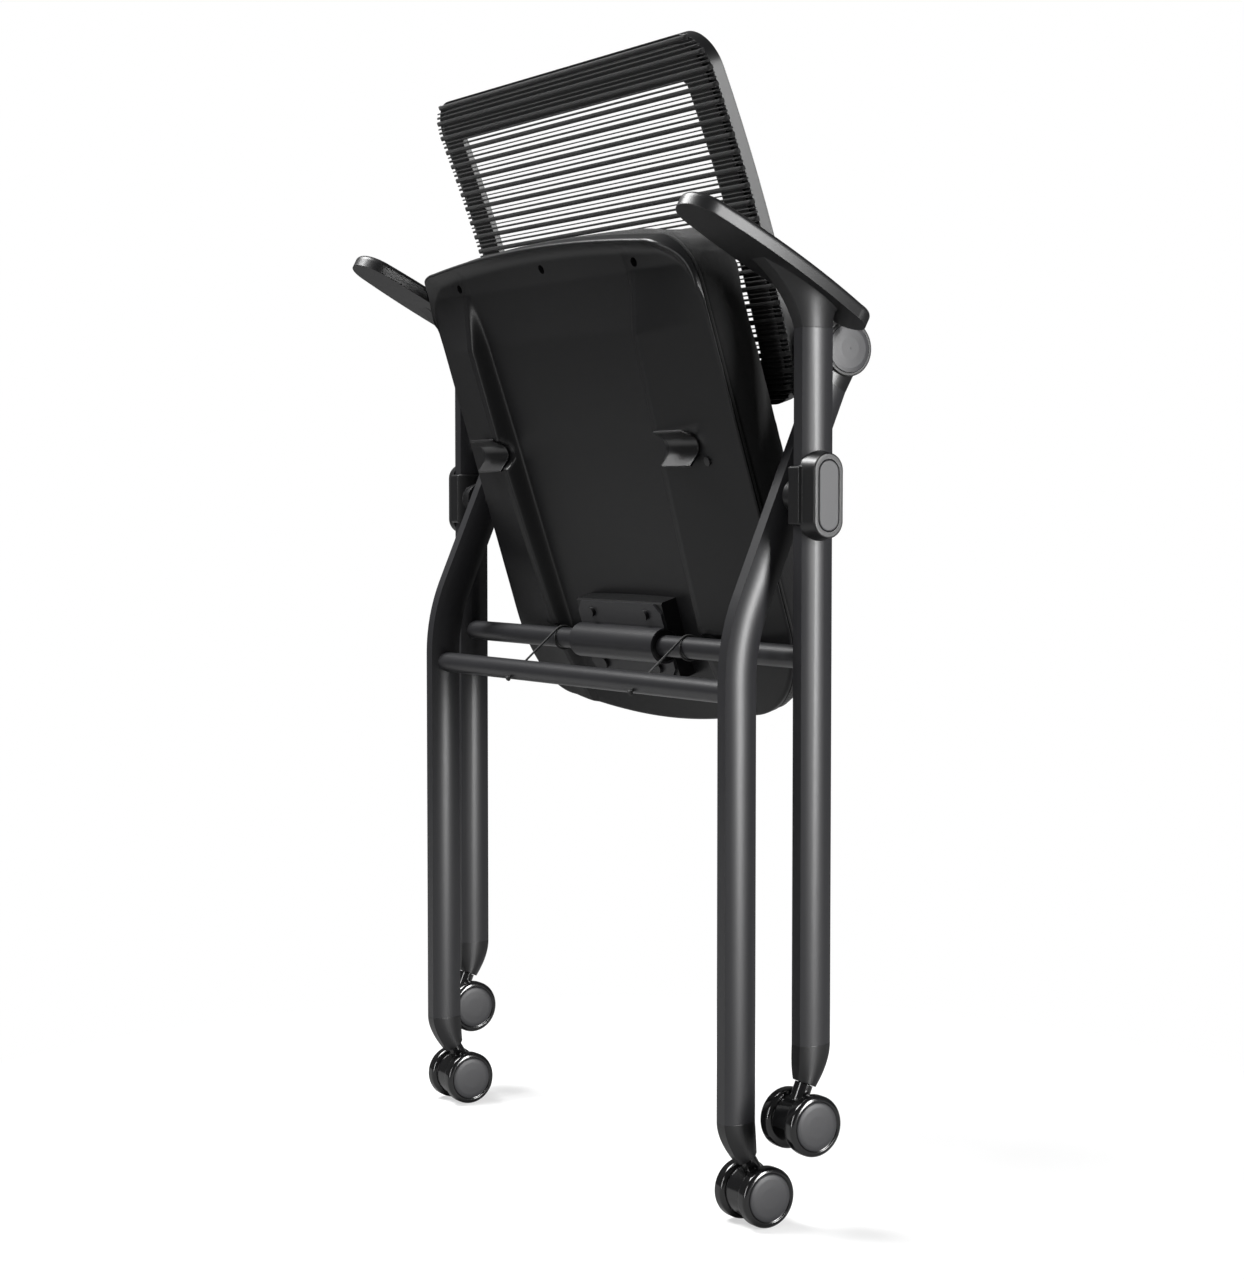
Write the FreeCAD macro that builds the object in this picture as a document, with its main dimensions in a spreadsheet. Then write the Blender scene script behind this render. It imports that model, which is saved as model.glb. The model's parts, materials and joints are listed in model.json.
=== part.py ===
import FreeCAD, Part
import Sketcher
import math
import os

# Nesting chair, folded, seat up. Millimetres, +Z up, +X to the sitter's left as seen from the front.
# The chair is an X frame: two straight rear legs carry the armrests, two bent front legs lie
# inside them and carry the backrest, and both pairs turn on one pivot line.

Vector = FreeCAD.Vector
Placement = FreeCAD.Placement
Rotation = FreeCAD.Rotation
X_AXIS = Vector(1, 0, 0)

doc = FreeCAD.newDocument("NestingChair")
sheet = doc.addObject("Spreadsheet::Sheet", "Dims")

SIZES = (
    # flat-oval frame tube and round cross tubes
    ("tube_depth", 30.0),
    ("tube_width", 19.0),
    ("tube_flat", 11.5),
    ("tube_wall", 2.0),
    ("cross_dia", 19.0),
    ("cross_wall", 1.5),
    # straight rear legs, heights measured from the frame pivot
    ("rear_leg_x", 290.8),
    ("rear_leg_above", 134.0),
    ("rear_leg_below", 444.6),
    ("rear_cross_drop", 130.8),
    # bent front legs
    ("front_leg_x", 256.7),
    ("front_leg_ahead", 50.2),
    ("front_leg_lean", 23.2),
    ("front_leg_bend", 165.0),
    ("front_leg_below", 509.9),
    ("front_cross_drop", 159.5),
    ("hub_reach", 131.6),
    ("hub_neck", 33.0),
    # the straight legs' plane, set so that the folded chair is centred on the origin
    ("tube_plane_y", 16.5),
    # foot sleeves
    ("foot_spigot", 28.0),
    ("socket_dia", 19.0),
    ("front_foot_drop", 29.75),
    ("front_foot_shift", 10.0),
    ("front_stem_tilt", 31.5),
    ("rear_foot_drop", 31.4),
    ("rear_foot_shift", 6.5),
    ("rear_stem_tilt", 23.35),
    # casters
    ("stem_dia", 10.0),
    ("stem_length", 22.0),
    ("neck_dia", 15.0),
    ("neck_gap", 0.5),
    ("wheel_dia", 50.0),
    ("wheel_width", 14.0),
    ("wheel_drop", 30.0),
    ("caster_trail", 9.0),
    ("hood_width", 19.0),
    ("hood_dia", 43.0),
    ("axle_dia", 6.0),
    # frame pivot
    ("pivot_bolt_dia", 8.0),
    ("pivot_bush_dia", 12.0),
    ("bush_flange_dia", 24.0),
    ("bush_flange", 3.0),
    ("pivot_gap", 0.3),
    ("housing_wall", 4.3),
    ("housing_sleeve", 48.0),
    ("housing_height", 74.0),
    ("housing_depth", 35.0),
    ("housing_reach", 22.0),
    ("housing_face_height", 68.0),
    ("housing_face_depth", 28.0),
    ("pivot_cap_height", 58.0),
    ("pivot_cap_depth", 20.5),
    ("cap_recess", 4.0),
    ("nut_height", 6.0),
    ("nut_across", 13.0),
    ("bolt_head_dia", 16.0),
    ("bolt_head", 3.2),
    # armrests
    ("arm_length", 196.0),
    ("arm_width", 58.0),
    ("arm_thick", 13.0),
    ("arm_tilt", 27.6),
    ("arm_rise", 39.5),
    ("arm_ahead", 38.0),
    ("arm_spigot", 30.0),
    # backrest hubs
    ("hub_dia", 46.0),
    ("hub_width", 24.6),
    ("hub_cap_dia", 40.0),
    ("hub_cap_depth", 2.5),
    ("back_bush_dia", 18.0),
    ("back_bush_length", 17.0),
    ("back_pin_dia", 10.0),
    ("hub_gap", 0.5),
    # backrest
    ("back_width", 466.0),
    ("back_top", 280.0),
    ("back_bottom", 34.0),
    ("back_lean", 18.7),
    ("back_stand", 36.0),
    ("back_radius", 1500.0),
    ("back_corner", 34.0),
    ("back_rail", 24.0),
    ("back_thick", 11.0),
    ("mesh_thick", 1.6),
    ("mesh_gap", 0.3),
    ("mesh_border", 44.0),
    ("mesh_pitch", 4.7),
    ("mesh_slot", 2.9),
    ("back_ear", 12.0),
    ("back_boss_dia", 30.0),
    ("back_pin_bite", 20.0),
    # seat, in its own frame: origin on the rear cross tube, length up the folded seat
    ("seat_lean", 17.5),
    ("seat_half", 231.0),
    ("seat_front", 363.0),
    ("seat_rear", 80.0),
    ("seat_front_corner", 46.0),
    ("seat_rear_corner", 82.0),
    ("seat_arch", 9.0),
    ("pan_rim", 23.0),
    ("rim_top", 25.0),
    ("pan_step", 16.0),
    ("pan_top", 45.0),
    ("pan_wall", 3.2),
    ("ridge_height", 3.0),
    ("ridge_x", 142.0),
    ("lip_depth", 7.0),
    ("lip_width", 20.0),
    ("board_thick", 6.0),
    ("board_inset", 17.0),
    ("soft_gap", 0.3),
    ("cushion_thick", 55.0),
    # seat hinge on the rear cross tube and saddles for the front one
    ("hinge_width", 142.0),
    ("hinge_gap", 0.08),
    ("hinge_bush_wall", 4.2),
    ("clamp_sheet", 2.0),
    ("clamp_top", 37.0),
    ("clamp_bottom", 32.0),
    ("clamp_screw_dia", 5.0),
    ("clamp_screw_span", 92.0),
    ("saddle_reach", 178.2),
    ("saddle_rise", 3.0),
    ("saddle_gap", 0.3),
    ("saddle_wall", 2.0),
    ("saddle_length", 44.0),
    ("saddle_mouth", 29.0),
    ("seat_screw_dia", 4.0),
    ("seat_screw_head", 8.0),
    # return cords
    ("cord_dia", 2.0),
    ("cord_x", 108.0),
    ("cord_hole_dia", 3.0),
    ("cord_slack", 0.3),
)

for row, (alias, value) in enumerate(SIZES, 1):
    sheet.set("A%d" % row, alias)
    sheet.set("B%d" % row, str(value))
    sheet.setAlias("B%d" % row, alias)
doc.recompute()
D = {alias: float(sheet.get(alias)) for alias, value in SIZES}


def derive(alias, value):
    """Writes a size that follows from the driving ones into the sheet under its own alias."""
    row = len(D) + 1
    sheet.set("A%d" % row, alias)
    sheet.set("B%d" % row, repr(round(value, 6)))
    sheet.setAlias("B%d" % row, alias)
    D[alias] = value


def sin(degrees):
    return math.sin(math.radians(degrees))


def cos(degrees):
    return math.cos(math.radians(degrees))


# The front wheels stand on the floor, and that sets how high the pivot is.
front_stem_height = (D["wheel_dia"] / 2 + D["wheel_drop"] * cos(D["front_stem_tilt"])
                     + D["caster_trail"] * sin(D["front_stem_tilt"]))
derive("pivot_height", front_stem_height + D["front_foot_drop"] + D["front_leg_below"])
derive("hub_y", D["tube_plane_y"] + D["hub_reach"] * sin(D["front_leg_lean"]))
derive("hub_z", D["pivot_height"] + D["hub_reach"] * cos(D["front_leg_lean"]))
derive("seat_hinge_z", D["pivot_height"] - D["rear_cross_drop"])
doc.recompute()


def body_at(label, x="0", y="Dims.tube_plane_y", z="Dims.pivot_height", tilt="0", way=1):
    """A body whose own origin is placed by expressions and tilted about X; way -1 tilts it back."""
    body = doc.addObject("PartDesign::Body", label)
    body.Label = label
    place(body, x, y, z, tilt, way)
    return body


def place(item, x="0", y="Dims.tube_plane_y", z="Dims.pivot_height", tilt="0", way=1):
    item.Placement = Placement(Vector(), Rotation(X_AXIS * way, 1.0))
    item.setExpression(".Placement.Base.x", x)
    item.setExpression(".Placement.Base.y", y)
    item.setExpression(".Placement.Base.z", z)
    item.setExpression(".Placement.Rotation.Angle", tilt)


def sketch(body, name, curves, plane="XY_Plane", base=(0, 0, 0), tilt=0.0):
    """A sketch on one of the body's origin planes, moved by base and tilted about the sketch's X."""
    item = body.newObject("Sketcher::SketchObject", name)
    origin = [part for part in body.Origin.OriginFeatures if part.Role == plane][0]
    item.AttachmentSupport = [(origin, "")]
    item.MapMode = "FlatFace"
    item.AttachmentOffset = Placement(Vector(*base), Rotation(X_AXIS, tilt))
    loops = curves if isinstance(curves[0], list) else [curves]
    for loop in loops:
        first = len(item.Geometry)
        for curve in loop:
            item.addGeometry(curve, False)
        join_ends(item, first, len(loop))
    return item


def join_ends(item, first, count):
    """Ties each curve's end to the next one's start, whichever way round an arc was stored."""
    for step in range(count if count > 2 else count - 1):
        here, there = first + step, first + (step + 1) % count
        pairs = [(end, start) for end in (2, 1) for start in (1, 2)
                 if (item.getPoint(here, end) - item.getPoint(there, start)).Length < 1e-5]
        if pairs:
            item.addConstraint(Sketcher.Constraint("Coincident", here, pairs[0][0], there, pairs[0][1]))


def bind(item, kind, geometry, expression):
    """A driving size on one curve of a sketch: its radius, or a line's extent along X or Y."""
    curve = item.Geometry[geometry]
    if kind == "Radius":
        number = item.addConstraint(Sketcher.Constraint("Radius", geometry, curve.Radius))
    else:
        span = curve.EndPoint - curve.StartPoint
        reach = span.x if kind == "DistanceX" else span.y
        ends = (1, 2) if reach >= 0 else (2, 1)
        number = item.addConstraint(
            Sketcher.Constraint(kind, geometry, ends[0], geometry, ends[1], abs(reach)))
    item.setExpression("Constraints[%d]" % number, expression)


def feature(body, kind, name, profile, length=None, both=False, back=False):
    item = body.newObject("PartDesign::" + kind, name)
    item.Profile = profile
    if length is None:
        item.Type = "ThroughAll"
    else:
        item.Type = "Length"
        item.setExpression("Length", length)
    item.Midplane = both
    item.Reversed = back
    body.Tip = item
    return item


def loft(body, kind, name, sketches, ruled=False):
    item = body.newObject("PartDesign::" + kind, name)
    item.Profile = sketches[0]
    item.Sections = sketches[1:]
    item.Ruled = ruled
    body.Tip = item
    return item


def circle(x, y, dia):
    return [Part.Circle(Vector(x, y, 0), Vector(0, 0, 1), dia / 2)]


def round_hole(body, name, plane, x, y, dia, length=None, base=(0, 0, 0), both=True, back=False, tilt=0.0):
    """A drilled hole, right through both ways unless it has a length."""
    item = sketch(body, name + "_Circle", circle(x, y, 1.0), plane, base, tilt)
    bind(item, "Radius", 0, "(%s) / 2" % dia)
    return feature(body, "Pocket", name, item, length, both, back)


def oval(depth, width, flat, x=0.0, y=0.0):
    """The frame tube's section: flat front and back faces, bowed sides that meet them at an edge."""
    front_left = Vector(x - flat / 2, y - depth / 2, 0)
    front_right = Vector(x + flat / 2, y - depth / 2, 0)
    back_right = Vector(x + flat / 2, y + depth / 2, 0)
    back_left = Vector(x - flat / 2, y + depth / 2, 0)
    return [Part.LineSegment(front_left, front_right),
            Part.Arc(front_right, Vector(x + width / 2, y, 0), back_right),
            Part.LineSegment(back_right, back_left),
            Part.Arc(back_left, Vector(x - width / 2, y, 0), front_left)]


def tube_oval(grow=0.0):
    """The tube's outer outline, grown or shrunk all round."""
    return oval(D["tube_depth"] + 2 * grow, D["tube_width"] + 2 * grow, D["tube_flat"] + grow)


def bind_tube(item):
    item_flat = "Dims.tube_flat"
    bow = "(Dims.tube_width - Dims.tube_flat) / 2"
    bind(item, "DistanceX", 0, item_flat)
    bind(item, "Radius", 1, "((Dims.tube_depth / 2) ^ 2 + (%s) ^ 2) / (2 * %s)" % (bow, bow))


def stadium(height, depth, x=0.0, y=0.0):
    """An upright slot outline in a YZ sketch: straight sides and round ends."""
    r = depth / 2
    up = height / 2 - r
    return [Part.LineSegment(Vector(x + r, y - up, 0), Vector(x + r, y + up, 0)),
            Part.Arc(Vector(x + r, y + up, 0), Vector(x, y + up + r, 0), Vector(x - r, y + up, 0)),
            Part.LineSegment(Vector(x - r, y + up, 0), Vector(x - r, y - up, 0)),
            Part.Arc(Vector(x - r, y - up, 0), Vector(x, y - up - r, 0), Vector(x + r, y - up, 0))]


def polygon(points):
    corners = [Vector(x, y, 0) for x, y in points]
    return [Part.LineSegment(a, b) for a, b in zip(corners, corners[1:] + corners[:1])]


def edges_where(item, test):
    """Names of a feature's edges whose middle point passes the test."""
    names = []
    for number, edge in enumerate(item.Shape.Edges, 1):
        middle = edge.valueAt((edge.FirstParameter + edge.LastParameter) / 2)
        if test(middle, edge):
            names.append("Edge%d" % number)
    return names


def fillet(body, name, base, test, radius):
    doc.recompute()
    names = edges_where(base, test)
    if not names:
        raise RuntimeError("no edges for " + name)
    item = body.newObject("PartDesign::Fillet", name)
    item.Base = (base, names)
    item.setExpression("Radius", radius)
    body.Tip = item
    doc.recompute()
    return item


SIDES = (("right", 1), ("left", -1))


def signed(side, expression):
    return expression if side > 0 else "-(%s)" % expression


# Rear legs: straight hollow tubes, drilled for the pivot bolt
def rear_leg(name, side):
    body = body_at("rear_leg_" + name, signed(side, "Dims.rear_leg_x"))
    outline = sketch(body, "Section", [tube_oval(), tube_oval(-D["tube_wall"])],
                     base=(0, 0, -D["rear_leg_below"]))
    outline.setExpression(".AttachmentOffset.Base.z", "-Dims.rear_leg_below")
    bind_tube(outline)
    feature(body, "Pad", "Tube", outline, "Dims.rear_leg_below + Dims.rear_leg_above")
    round_hole(body, "BoltHole", "YZ_Plane", 0, 0, "Dims.pivot_bolt_dia + 0.2")


# Round cross tubes whose ends are coped to the legs' bowed sides
def cross_tube(label, leg_x, x_alias, y, z):
    body = body_at(label, "0", y, z)
    rings = sketch(body, "Ring", [circle(0, 0, D["cross_dia"]),
                                  circle(0, 0, D["cross_dia"] - 2 * D["cross_wall"])], "YZ_Plane")
    bind(rings, "Radius", 0, "Dims.cross_dia / 2")
    bind(rings, "Radius", 1, "Dims.cross_dia / 2 - Dims.cross_wall")
    feature(body, "Pad", "Tube", rings, "2 * Dims." + x_alias, both=True)
    legs = sketch(body, "Legs", [oval(D["tube_depth"], D["tube_width"], D["tube_flat"], side * leg_x)
                                 for name, side in SIDES])
    feature(body, "Pocket", "Cope", legs, both=True)
    return body


def front_leg(name, side):
    """A hollow tube that runs up, bends back and leans through the pivot to the backrest hub."""
    lean, bend = D["front_leg_lean"], D["front_leg_bend"]
    ahead = -D["front_leg_ahead"]
    corner = ahead / math.tan(math.radians(lean))
    tangent = bend * math.tan(math.radians(lean / 2))
    top = D["hub_reach"] - D["hub_neck"]
    foot = Vector(ahead, -D["front_leg_below"], 0)
    bend_start = Vector(ahead, corner - tangent, 0)
    bend_end = Vector(ahead + tangent * sin(lean), corner + tangent * cos(lean), 0)
    centre = Vector(ahead + bend, corner - tangent, 0)
    bend_middle = centre + Vector(-bend * cos(lean / 2), bend * sin(lean / 2), 0)
    body = body_at("front_leg_" + name, signed(side, "Dims.front_leg_x"))
    path = sketch(body, "Path", [Part.LineSegment(foot, bend_start),
                                 Part.Arc(bend_start, bend_middle, bend_end),
                                 Part.LineSegment(bend_end, Vector(top * sin(lean), top * cos(lean), 0))],
                  "YZ_Plane")
    outline = sketch(body, "Section", [tube_oval(), tube_oval(-D["tube_wall"])],
                     base=(0, ahead, -D["front_leg_below"]))
    bind_tube(outline)
    tube = body.newObject("PartDesign::AdditivePipe", "Tube")
    tube.Profile = outline
    tube.Spine = (path, ["Edge1", "Edge2", "Edge3"])
    body.Tip = tube
    round_hole(body, "BushHole", "YZ_Plane", 0, 0, "Dims.pivot_bush_dia")


def foot(label, leg_x, y_base, bottom, drop, shift, tilt):
    """A sleeve that takes the tube's outline down to a round tilted socket for the caster stem."""
    body = body_at(label, leg_x, y_base)
    joint = sketch(body, "Joint", tube_oval(), base=(0, 0, -bottom))
    waist = sketch(body, "Waist", oval(D["tube_depth"] * 0.93, D["tube_width"], D["tube_flat"],
                                       0, shift * 0.18), base=(0, shift * 0.02, -bottom - drop * 0.42))
    socket = sketch(body, "Socket", oval(D["socket_dia"], D["socket_dia"] * 0.97, D["tube_flat"] * 0.62),
                    base=(0, shift, -bottom - drop), tilt=tilt)
    loft(body, "AdditiveLoft", "Sleeve", [joint, waist, socket])
    inner = sketch(body, "SpigotSection", tube_oval(-D["tube_wall"] - 0.2), base=(0, 0, -bottom))
    feature(body, "Pad", "Spigot", inner, "Dims.foot_spigot")
    round_hole(body, "StemSocket", "XY_Plane", 0, 0, "Dims.stem_dia + 0.1", "Dims.stem_length + 2",
               base=(0, shift, -bottom - drop), both=False, back=True, tilt=tilt)
    return body


def pivot_housing(name, side):
    """A moulded clamp round the rear leg: a sleeve, an oval boss outwards and a round boss inwards."""
    body = body_at("pivot_housing_" + name, signed(side, "Dims.rear_leg_x"))
    sleeve = sketch(body, "SleeveSection", oval(D["tube_depth"] + 2 * D["housing_wall"],
                                                D["tube_width"] + 2 * D["housing_wall"],
                                                D["tube_flat"] + D["housing_wall"] / 2))
    wrap = feature(body, "Pad", "Wrap", sleeve, "Dims.housing_sleeve", both=True)
    half = D["housing_sleeve"] / 2
    fillet(body, "WrapEdges", wrap, lambda p, e: abs(abs(p.z) - half) < 0.01, "Dims.housing_wall * 0.6")
    root = sketch(body, "BossRoot", stadium(D["housing_height"], D["housing_depth"]), "YZ_Plane",
                  base=(0, 0, side * D["tube_width"] * 0.3))
    face = sketch(body, "BossFace", stadium(D["housing_face_height"], D["housing_face_depth"]),
                  "YZ_Plane", base=(0, 0, side * D["housing_reach"]))
    boss = loft(body, "AdditiveLoft", "OvalBoss", [root, face], ruled=True)
    reach = D["housing_reach"]
    fillet(body, "BossEdge", boss, lambda p, e: abs(p.x - side * reach) < 0.01, "1.6")
    inner = sketch(body, "InnerRing", circle(0, 0, 30.0), "YZ_Plane")
    bind(inner, "Radius", 0, "Dims.bush_flange_dia / 2 + 3")
    feature(body, "Pad", "InnerBoss", inner,
            "Dims.rear_leg_x - Dims.front_leg_x - Dims.tube_width / 2 - Dims.bush_flange - Dims.pivot_gap",
            back=side > 0)
    bore = sketch(body, "LegSection", tube_oval())
    bind_tube(bore)
    feature(body, "Pocket", "LegBore", bore, both=True)
    recess = sketch(body, "CapRecessOutline", stadium(D["pivot_cap_height"], D["pivot_cap_depth"]),
                    "YZ_Plane", base=(0, 0, side * D["housing_reach"]))
    feature(body, "Pocket", "CapRecess", recess, "Dims.cap_recess", back=side < 0)
    round_hole(body, "NutRecess", "YZ_Plane", 0, 0, "Dims.nut_across * 1.3",
               "Dims.cap_recess + Dims.nut_height + 1.2", base=(0, 0, side * D["housing_reach"]),
               both=False, back=side < 0)
    round_hole(body, "BoltHole", "YZ_Plane", 0, 0, "Dims.pivot_bolt_dia + 0.2")


def pivot_cap(name, side):
    """The oval cover that snaps into the housing's recess, with a slightly crowned face."""
    body = body_at("pivot_cap_" + name, signed(side, "Dims.rear_leg_x"))
    gap = 2 * D["soft_gap"]
    back = sketch(body, "Back", stadium(D["pivot_cap_height"] - gap, D["pivot_cap_depth"] - gap),
                  "YZ_Plane", base=(0, 0, side * (D["housing_reach"] - D["cap_recess"])))
    plate = feature(body, "Pad", "Plate", back, "Dims.cap_recess + 0.6", back=side < 0)
    outer = D["housing_reach"] + 0.6
    fillet(body, "Crown", plate, lambda p, e: abs(p.x - side * outer) < 0.01, "1.5")


def cylinder(name, dia, length, x="0", y="0", z="0"):
    """A cylinder along X from the given start."""
    item = doc.addObject("Part::Cylinder", name)
    item.setExpression("Radius", "(%s) / 2" % dia)
    item.setExpression("Height", length)
    item.Placement = Placement(Vector(), Rotation(Vector(0, 1, 0), 90))
    item.setExpression(".Placement.Base.x", x)
    item.setExpression(".Placement.Base.y", y)
    item.setExpression(".Placement.Base.z", z)
    return item


def boolean(kind, label, base, tool):
    item = doc.addObject("Part::" + kind, label)
    item.Label = label
    item.Base = base
    item.Tool = tool
    return item


def group(label, items):
    item = doc.addObject("Part::Compound", label)
    item.Label = label
    item.Links = items
    return item


def pivot_bolts():
    """Each bolt's low head bears inside the front leg, and its nut sits under the oval cap."""
    pieces = []
    inner = "Dims.front_leg_x - Dims.tube_width / 2 - Dims.pivot_gap"
    for name, side in SIDES:
        nut_seat = "Dims.rear_leg_x + Dims.housing_reach - Dims.cap_recess - Dims.nut_height - 1.2"
        start = inner if side > 0 else "-(%s + Dims.nut_height)" % nut_seat
        length = "%s + Dims.nut_height - (%s)" % (nut_seat, inner)
        shank = cylinder("Shank_" + name, "Dims.pivot_bolt_dia", length, start,
                         "Dims.tube_plane_y", "Dims.pivot_height")
        head_start = "%s - Dims.bolt_head" % inner if side > 0 else "-(%s)" % inner
        head = cylinder("Head_" + name, "Dims.bolt_head_dia", "Dims.bolt_head", head_start,
                        "Dims.tube_plane_y", "Dims.pivot_height")
        pieces.append(boolean("Fuse", "Bolt_" + name, shank, head))
        prism = doc.addObject("Part::Prism", "Hexagon_" + name)
        prism.Polygon = 6
        prism.setExpression("Circumradius", "Dims.nut_across / 1.7320508")
        prism.setExpression("Height", "Dims.nut_height")
        prism.Placement = Placement(Vector(), Rotation(Vector(0, 1, 0), 90))
        prism.setExpression(".Placement.Base.x",
                            nut_seat if side > 0 else "-(%s + Dims.nut_height)" % nut_seat)
        prism.setExpression(".Placement.Base.y", "Dims.tube_plane_y")
        prism.setExpression(".Placement.Base.z", "Dims.pivot_height")
        thread = cylinder("Thread_" + name, "Dims.pivot_bolt_dia", length, start,
                          "Dims.tube_plane_y", "Dims.pivot_height")
        pieces.append(boolean("Cut", "Nut_" + name, prism, thread))
    group("pivot_bolts", pieces)


def pivot_bush(name, side):
    """A flanged polymer bush in the front leg; its flange spaces the leg from the housing."""
    body = body_at("pivot_bush_" + name, signed(side, "Dims.front_leg_x"))
    bore = D["pivot_bolt_dia"] / 2 + 0.05
    half, flange = D["tube_width"] / 2, D["bush_flange"]
    r, rim = D["pivot_bush_dia"] / 2, D["bush_flange_dia"] / 2
    profile = polygon([(-half * side, bore), (-half * side, r), (half * side, r), (half * side, rim),
                       ((half + flange) * side, rim), ((half + flange) * side, bore)])
    turned = sketch(body, "Profile", profile, "XZ_Plane")
    item = body.newObject("PartDesign::Revolution", "Bush")
    item.Profile = turned
    item.ReferenceAxis = (turned, ["H_Axis"])
    item.Angle = 360.0
    body.Tip = item


for name, side in SIDES:
    rear_leg(name, side)
    pivot_housing(name, side)
    pivot_cap(name, side)
    front_leg(name, side)
    pivot_bush(name, side)
    foot("rear_foot_" + name, signed(side, "Dims.rear_leg_x"), "Dims.tube_plane_y",
         D["rear_leg_below"], D["rear_foot_drop"], -D["rear_foot_shift"], -D["rear_stem_tilt"])
    foot("front_foot_" + name, signed(side, "Dims.front_leg_x"),
         "Dims.tube_plane_y - Dims.front_leg_ahead",
         D["front_leg_below"], D["front_foot_drop"], D["front_foot_shift"], D["front_stem_tilt"])

cross_tube("rear_cross_tube", D["rear_leg_x"], "rear_leg_x", "Dims.tube_plane_y",
           "Dims.pivot_height - Dims.rear_cross_drop")
pivot_bolts()

# The front cross tube is drilled twice, on lines that graze the loops round the rear cross tube
cord_rise = D["front_cross_drop"] - D["rear_cross_drop"]
cord_span = math.hypot(cord_rise, D["front_leg_ahead"])
loop_radius = D["cross_dia"] / 2 + D["cord_slack"] + D["cord_dia"] / 2
cord_angle = math.degrees(math.atan2(cord_rise, D["front_leg_ahead"]) + math.asin(loop_radius / cord_span))
front_cross = cross_tube("front_cross_tube", D["front_leg_x"], "front_leg_x",
                         "Dims.tube_plane_y - Dims.front_leg_ahead",
                         "Dims.pivot_height - Dims.front_cross_drop")
for name, side in SIDES:
    round_hole(front_cross, "CordHole_" + name, "XY_Plane", side * D["cord_x"], 0,
               "Dims.cord_hole_dia", tilt=cord_angle - 90)


def return_cord(name, side):
    """An elastic cord: a stop bead, a straight run through the drilled tube, a loop round the other."""
    body = body_at("return_cord_" + name, signed(side, "Dims.cord_x"))
    along = Vector(cos(cord_angle), sin(cord_angle), 0)
    hole = Vector(-D["front_leg_ahead"], -D["front_cross_drop"], 0)
    start = hole - along * (D["cross_dia"] / 2 + 4.0)
    touch = hole + along * math.sqrt(cord_span ** 2 - loop_radius ** 2)
    centre = Vector(0, -D["rear_cross_drop"], 0)

    def on_loop(turn):
        angle = math.radians(cord_angle + 90 - turn)
        return centre + Vector(math.cos(angle), math.sin(angle), 0) * loop_radius
    path = sketch(body, "Path", [Part.LineSegment(start, touch),
                                 Part.Arc(touch, on_loop(160), on_loop(320))], "YZ_Plane")
    section = sketch(body, "Section", circle(0, 0, D["cord_dia"]),
                     base=(0, start.x, start.y), tilt=cord_angle - 90)
    bind(section, "Radius", 0, "Dims.cord_dia / 2")
    cord = body.newObject("PartDesign::AdditivePipe", "Cord")
    cord.Profile = section
    cord.Spine = (path, ["Edge1", "Edge2"])
    body.Tip = cord
    bead = sketch(body, "BeadCircle", circle(0, 0, D["cord_dia"] * 2.6),
                  base=(0, start.x, start.y), tilt=cord_angle - 90)
    feature(body, "Pad", "StopBead", bead, "3.5")


for name, side in SIDES:
    return_cord(name, side)


def slot_loop(x0, x1, y0, y1):
    return polygon([(x0, y0), (x1, y0), (x1, y1), (x0, y1)])


def rounded(half, low, high, radius):
    """A rectangle with round corners, centred on the sketch's Y axis."""
    near = radius * (1 - math.sqrt(0.5))
    return [Part.LineSegment(Vector(-half + radius, low, 0), Vector(half - radius, low, 0)),
            Part.Arc(Vector(half - radius, low, 0), Vector(half - near, low + near, 0),
                     Vector(half, low + radius, 0)),
            Part.LineSegment(Vector(half, low + radius, 0), Vector(half, high - radius, 0)),
            Part.Arc(Vector(half, high - radius, 0), Vector(half - near, high - near, 0),
                     Vector(half - radius, high, 0)),
            Part.LineSegment(Vector(half - radius, high, 0), Vector(-half + radius, high, 0)),
            Part.Arc(Vector(-half + radius, high, 0), Vector(-half + near, high - near, 0),
                     Vector(-half, high - radius, 0)),
            Part.LineSegment(Vector(-half, high - radius, 0), Vector(-half, low + radius, 0)),
            Part.Arc(Vector(-half, low + radius, 0), Vector(-half + near, low + near, 0),
                     Vector(-half + radius, low, 0))]


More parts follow.
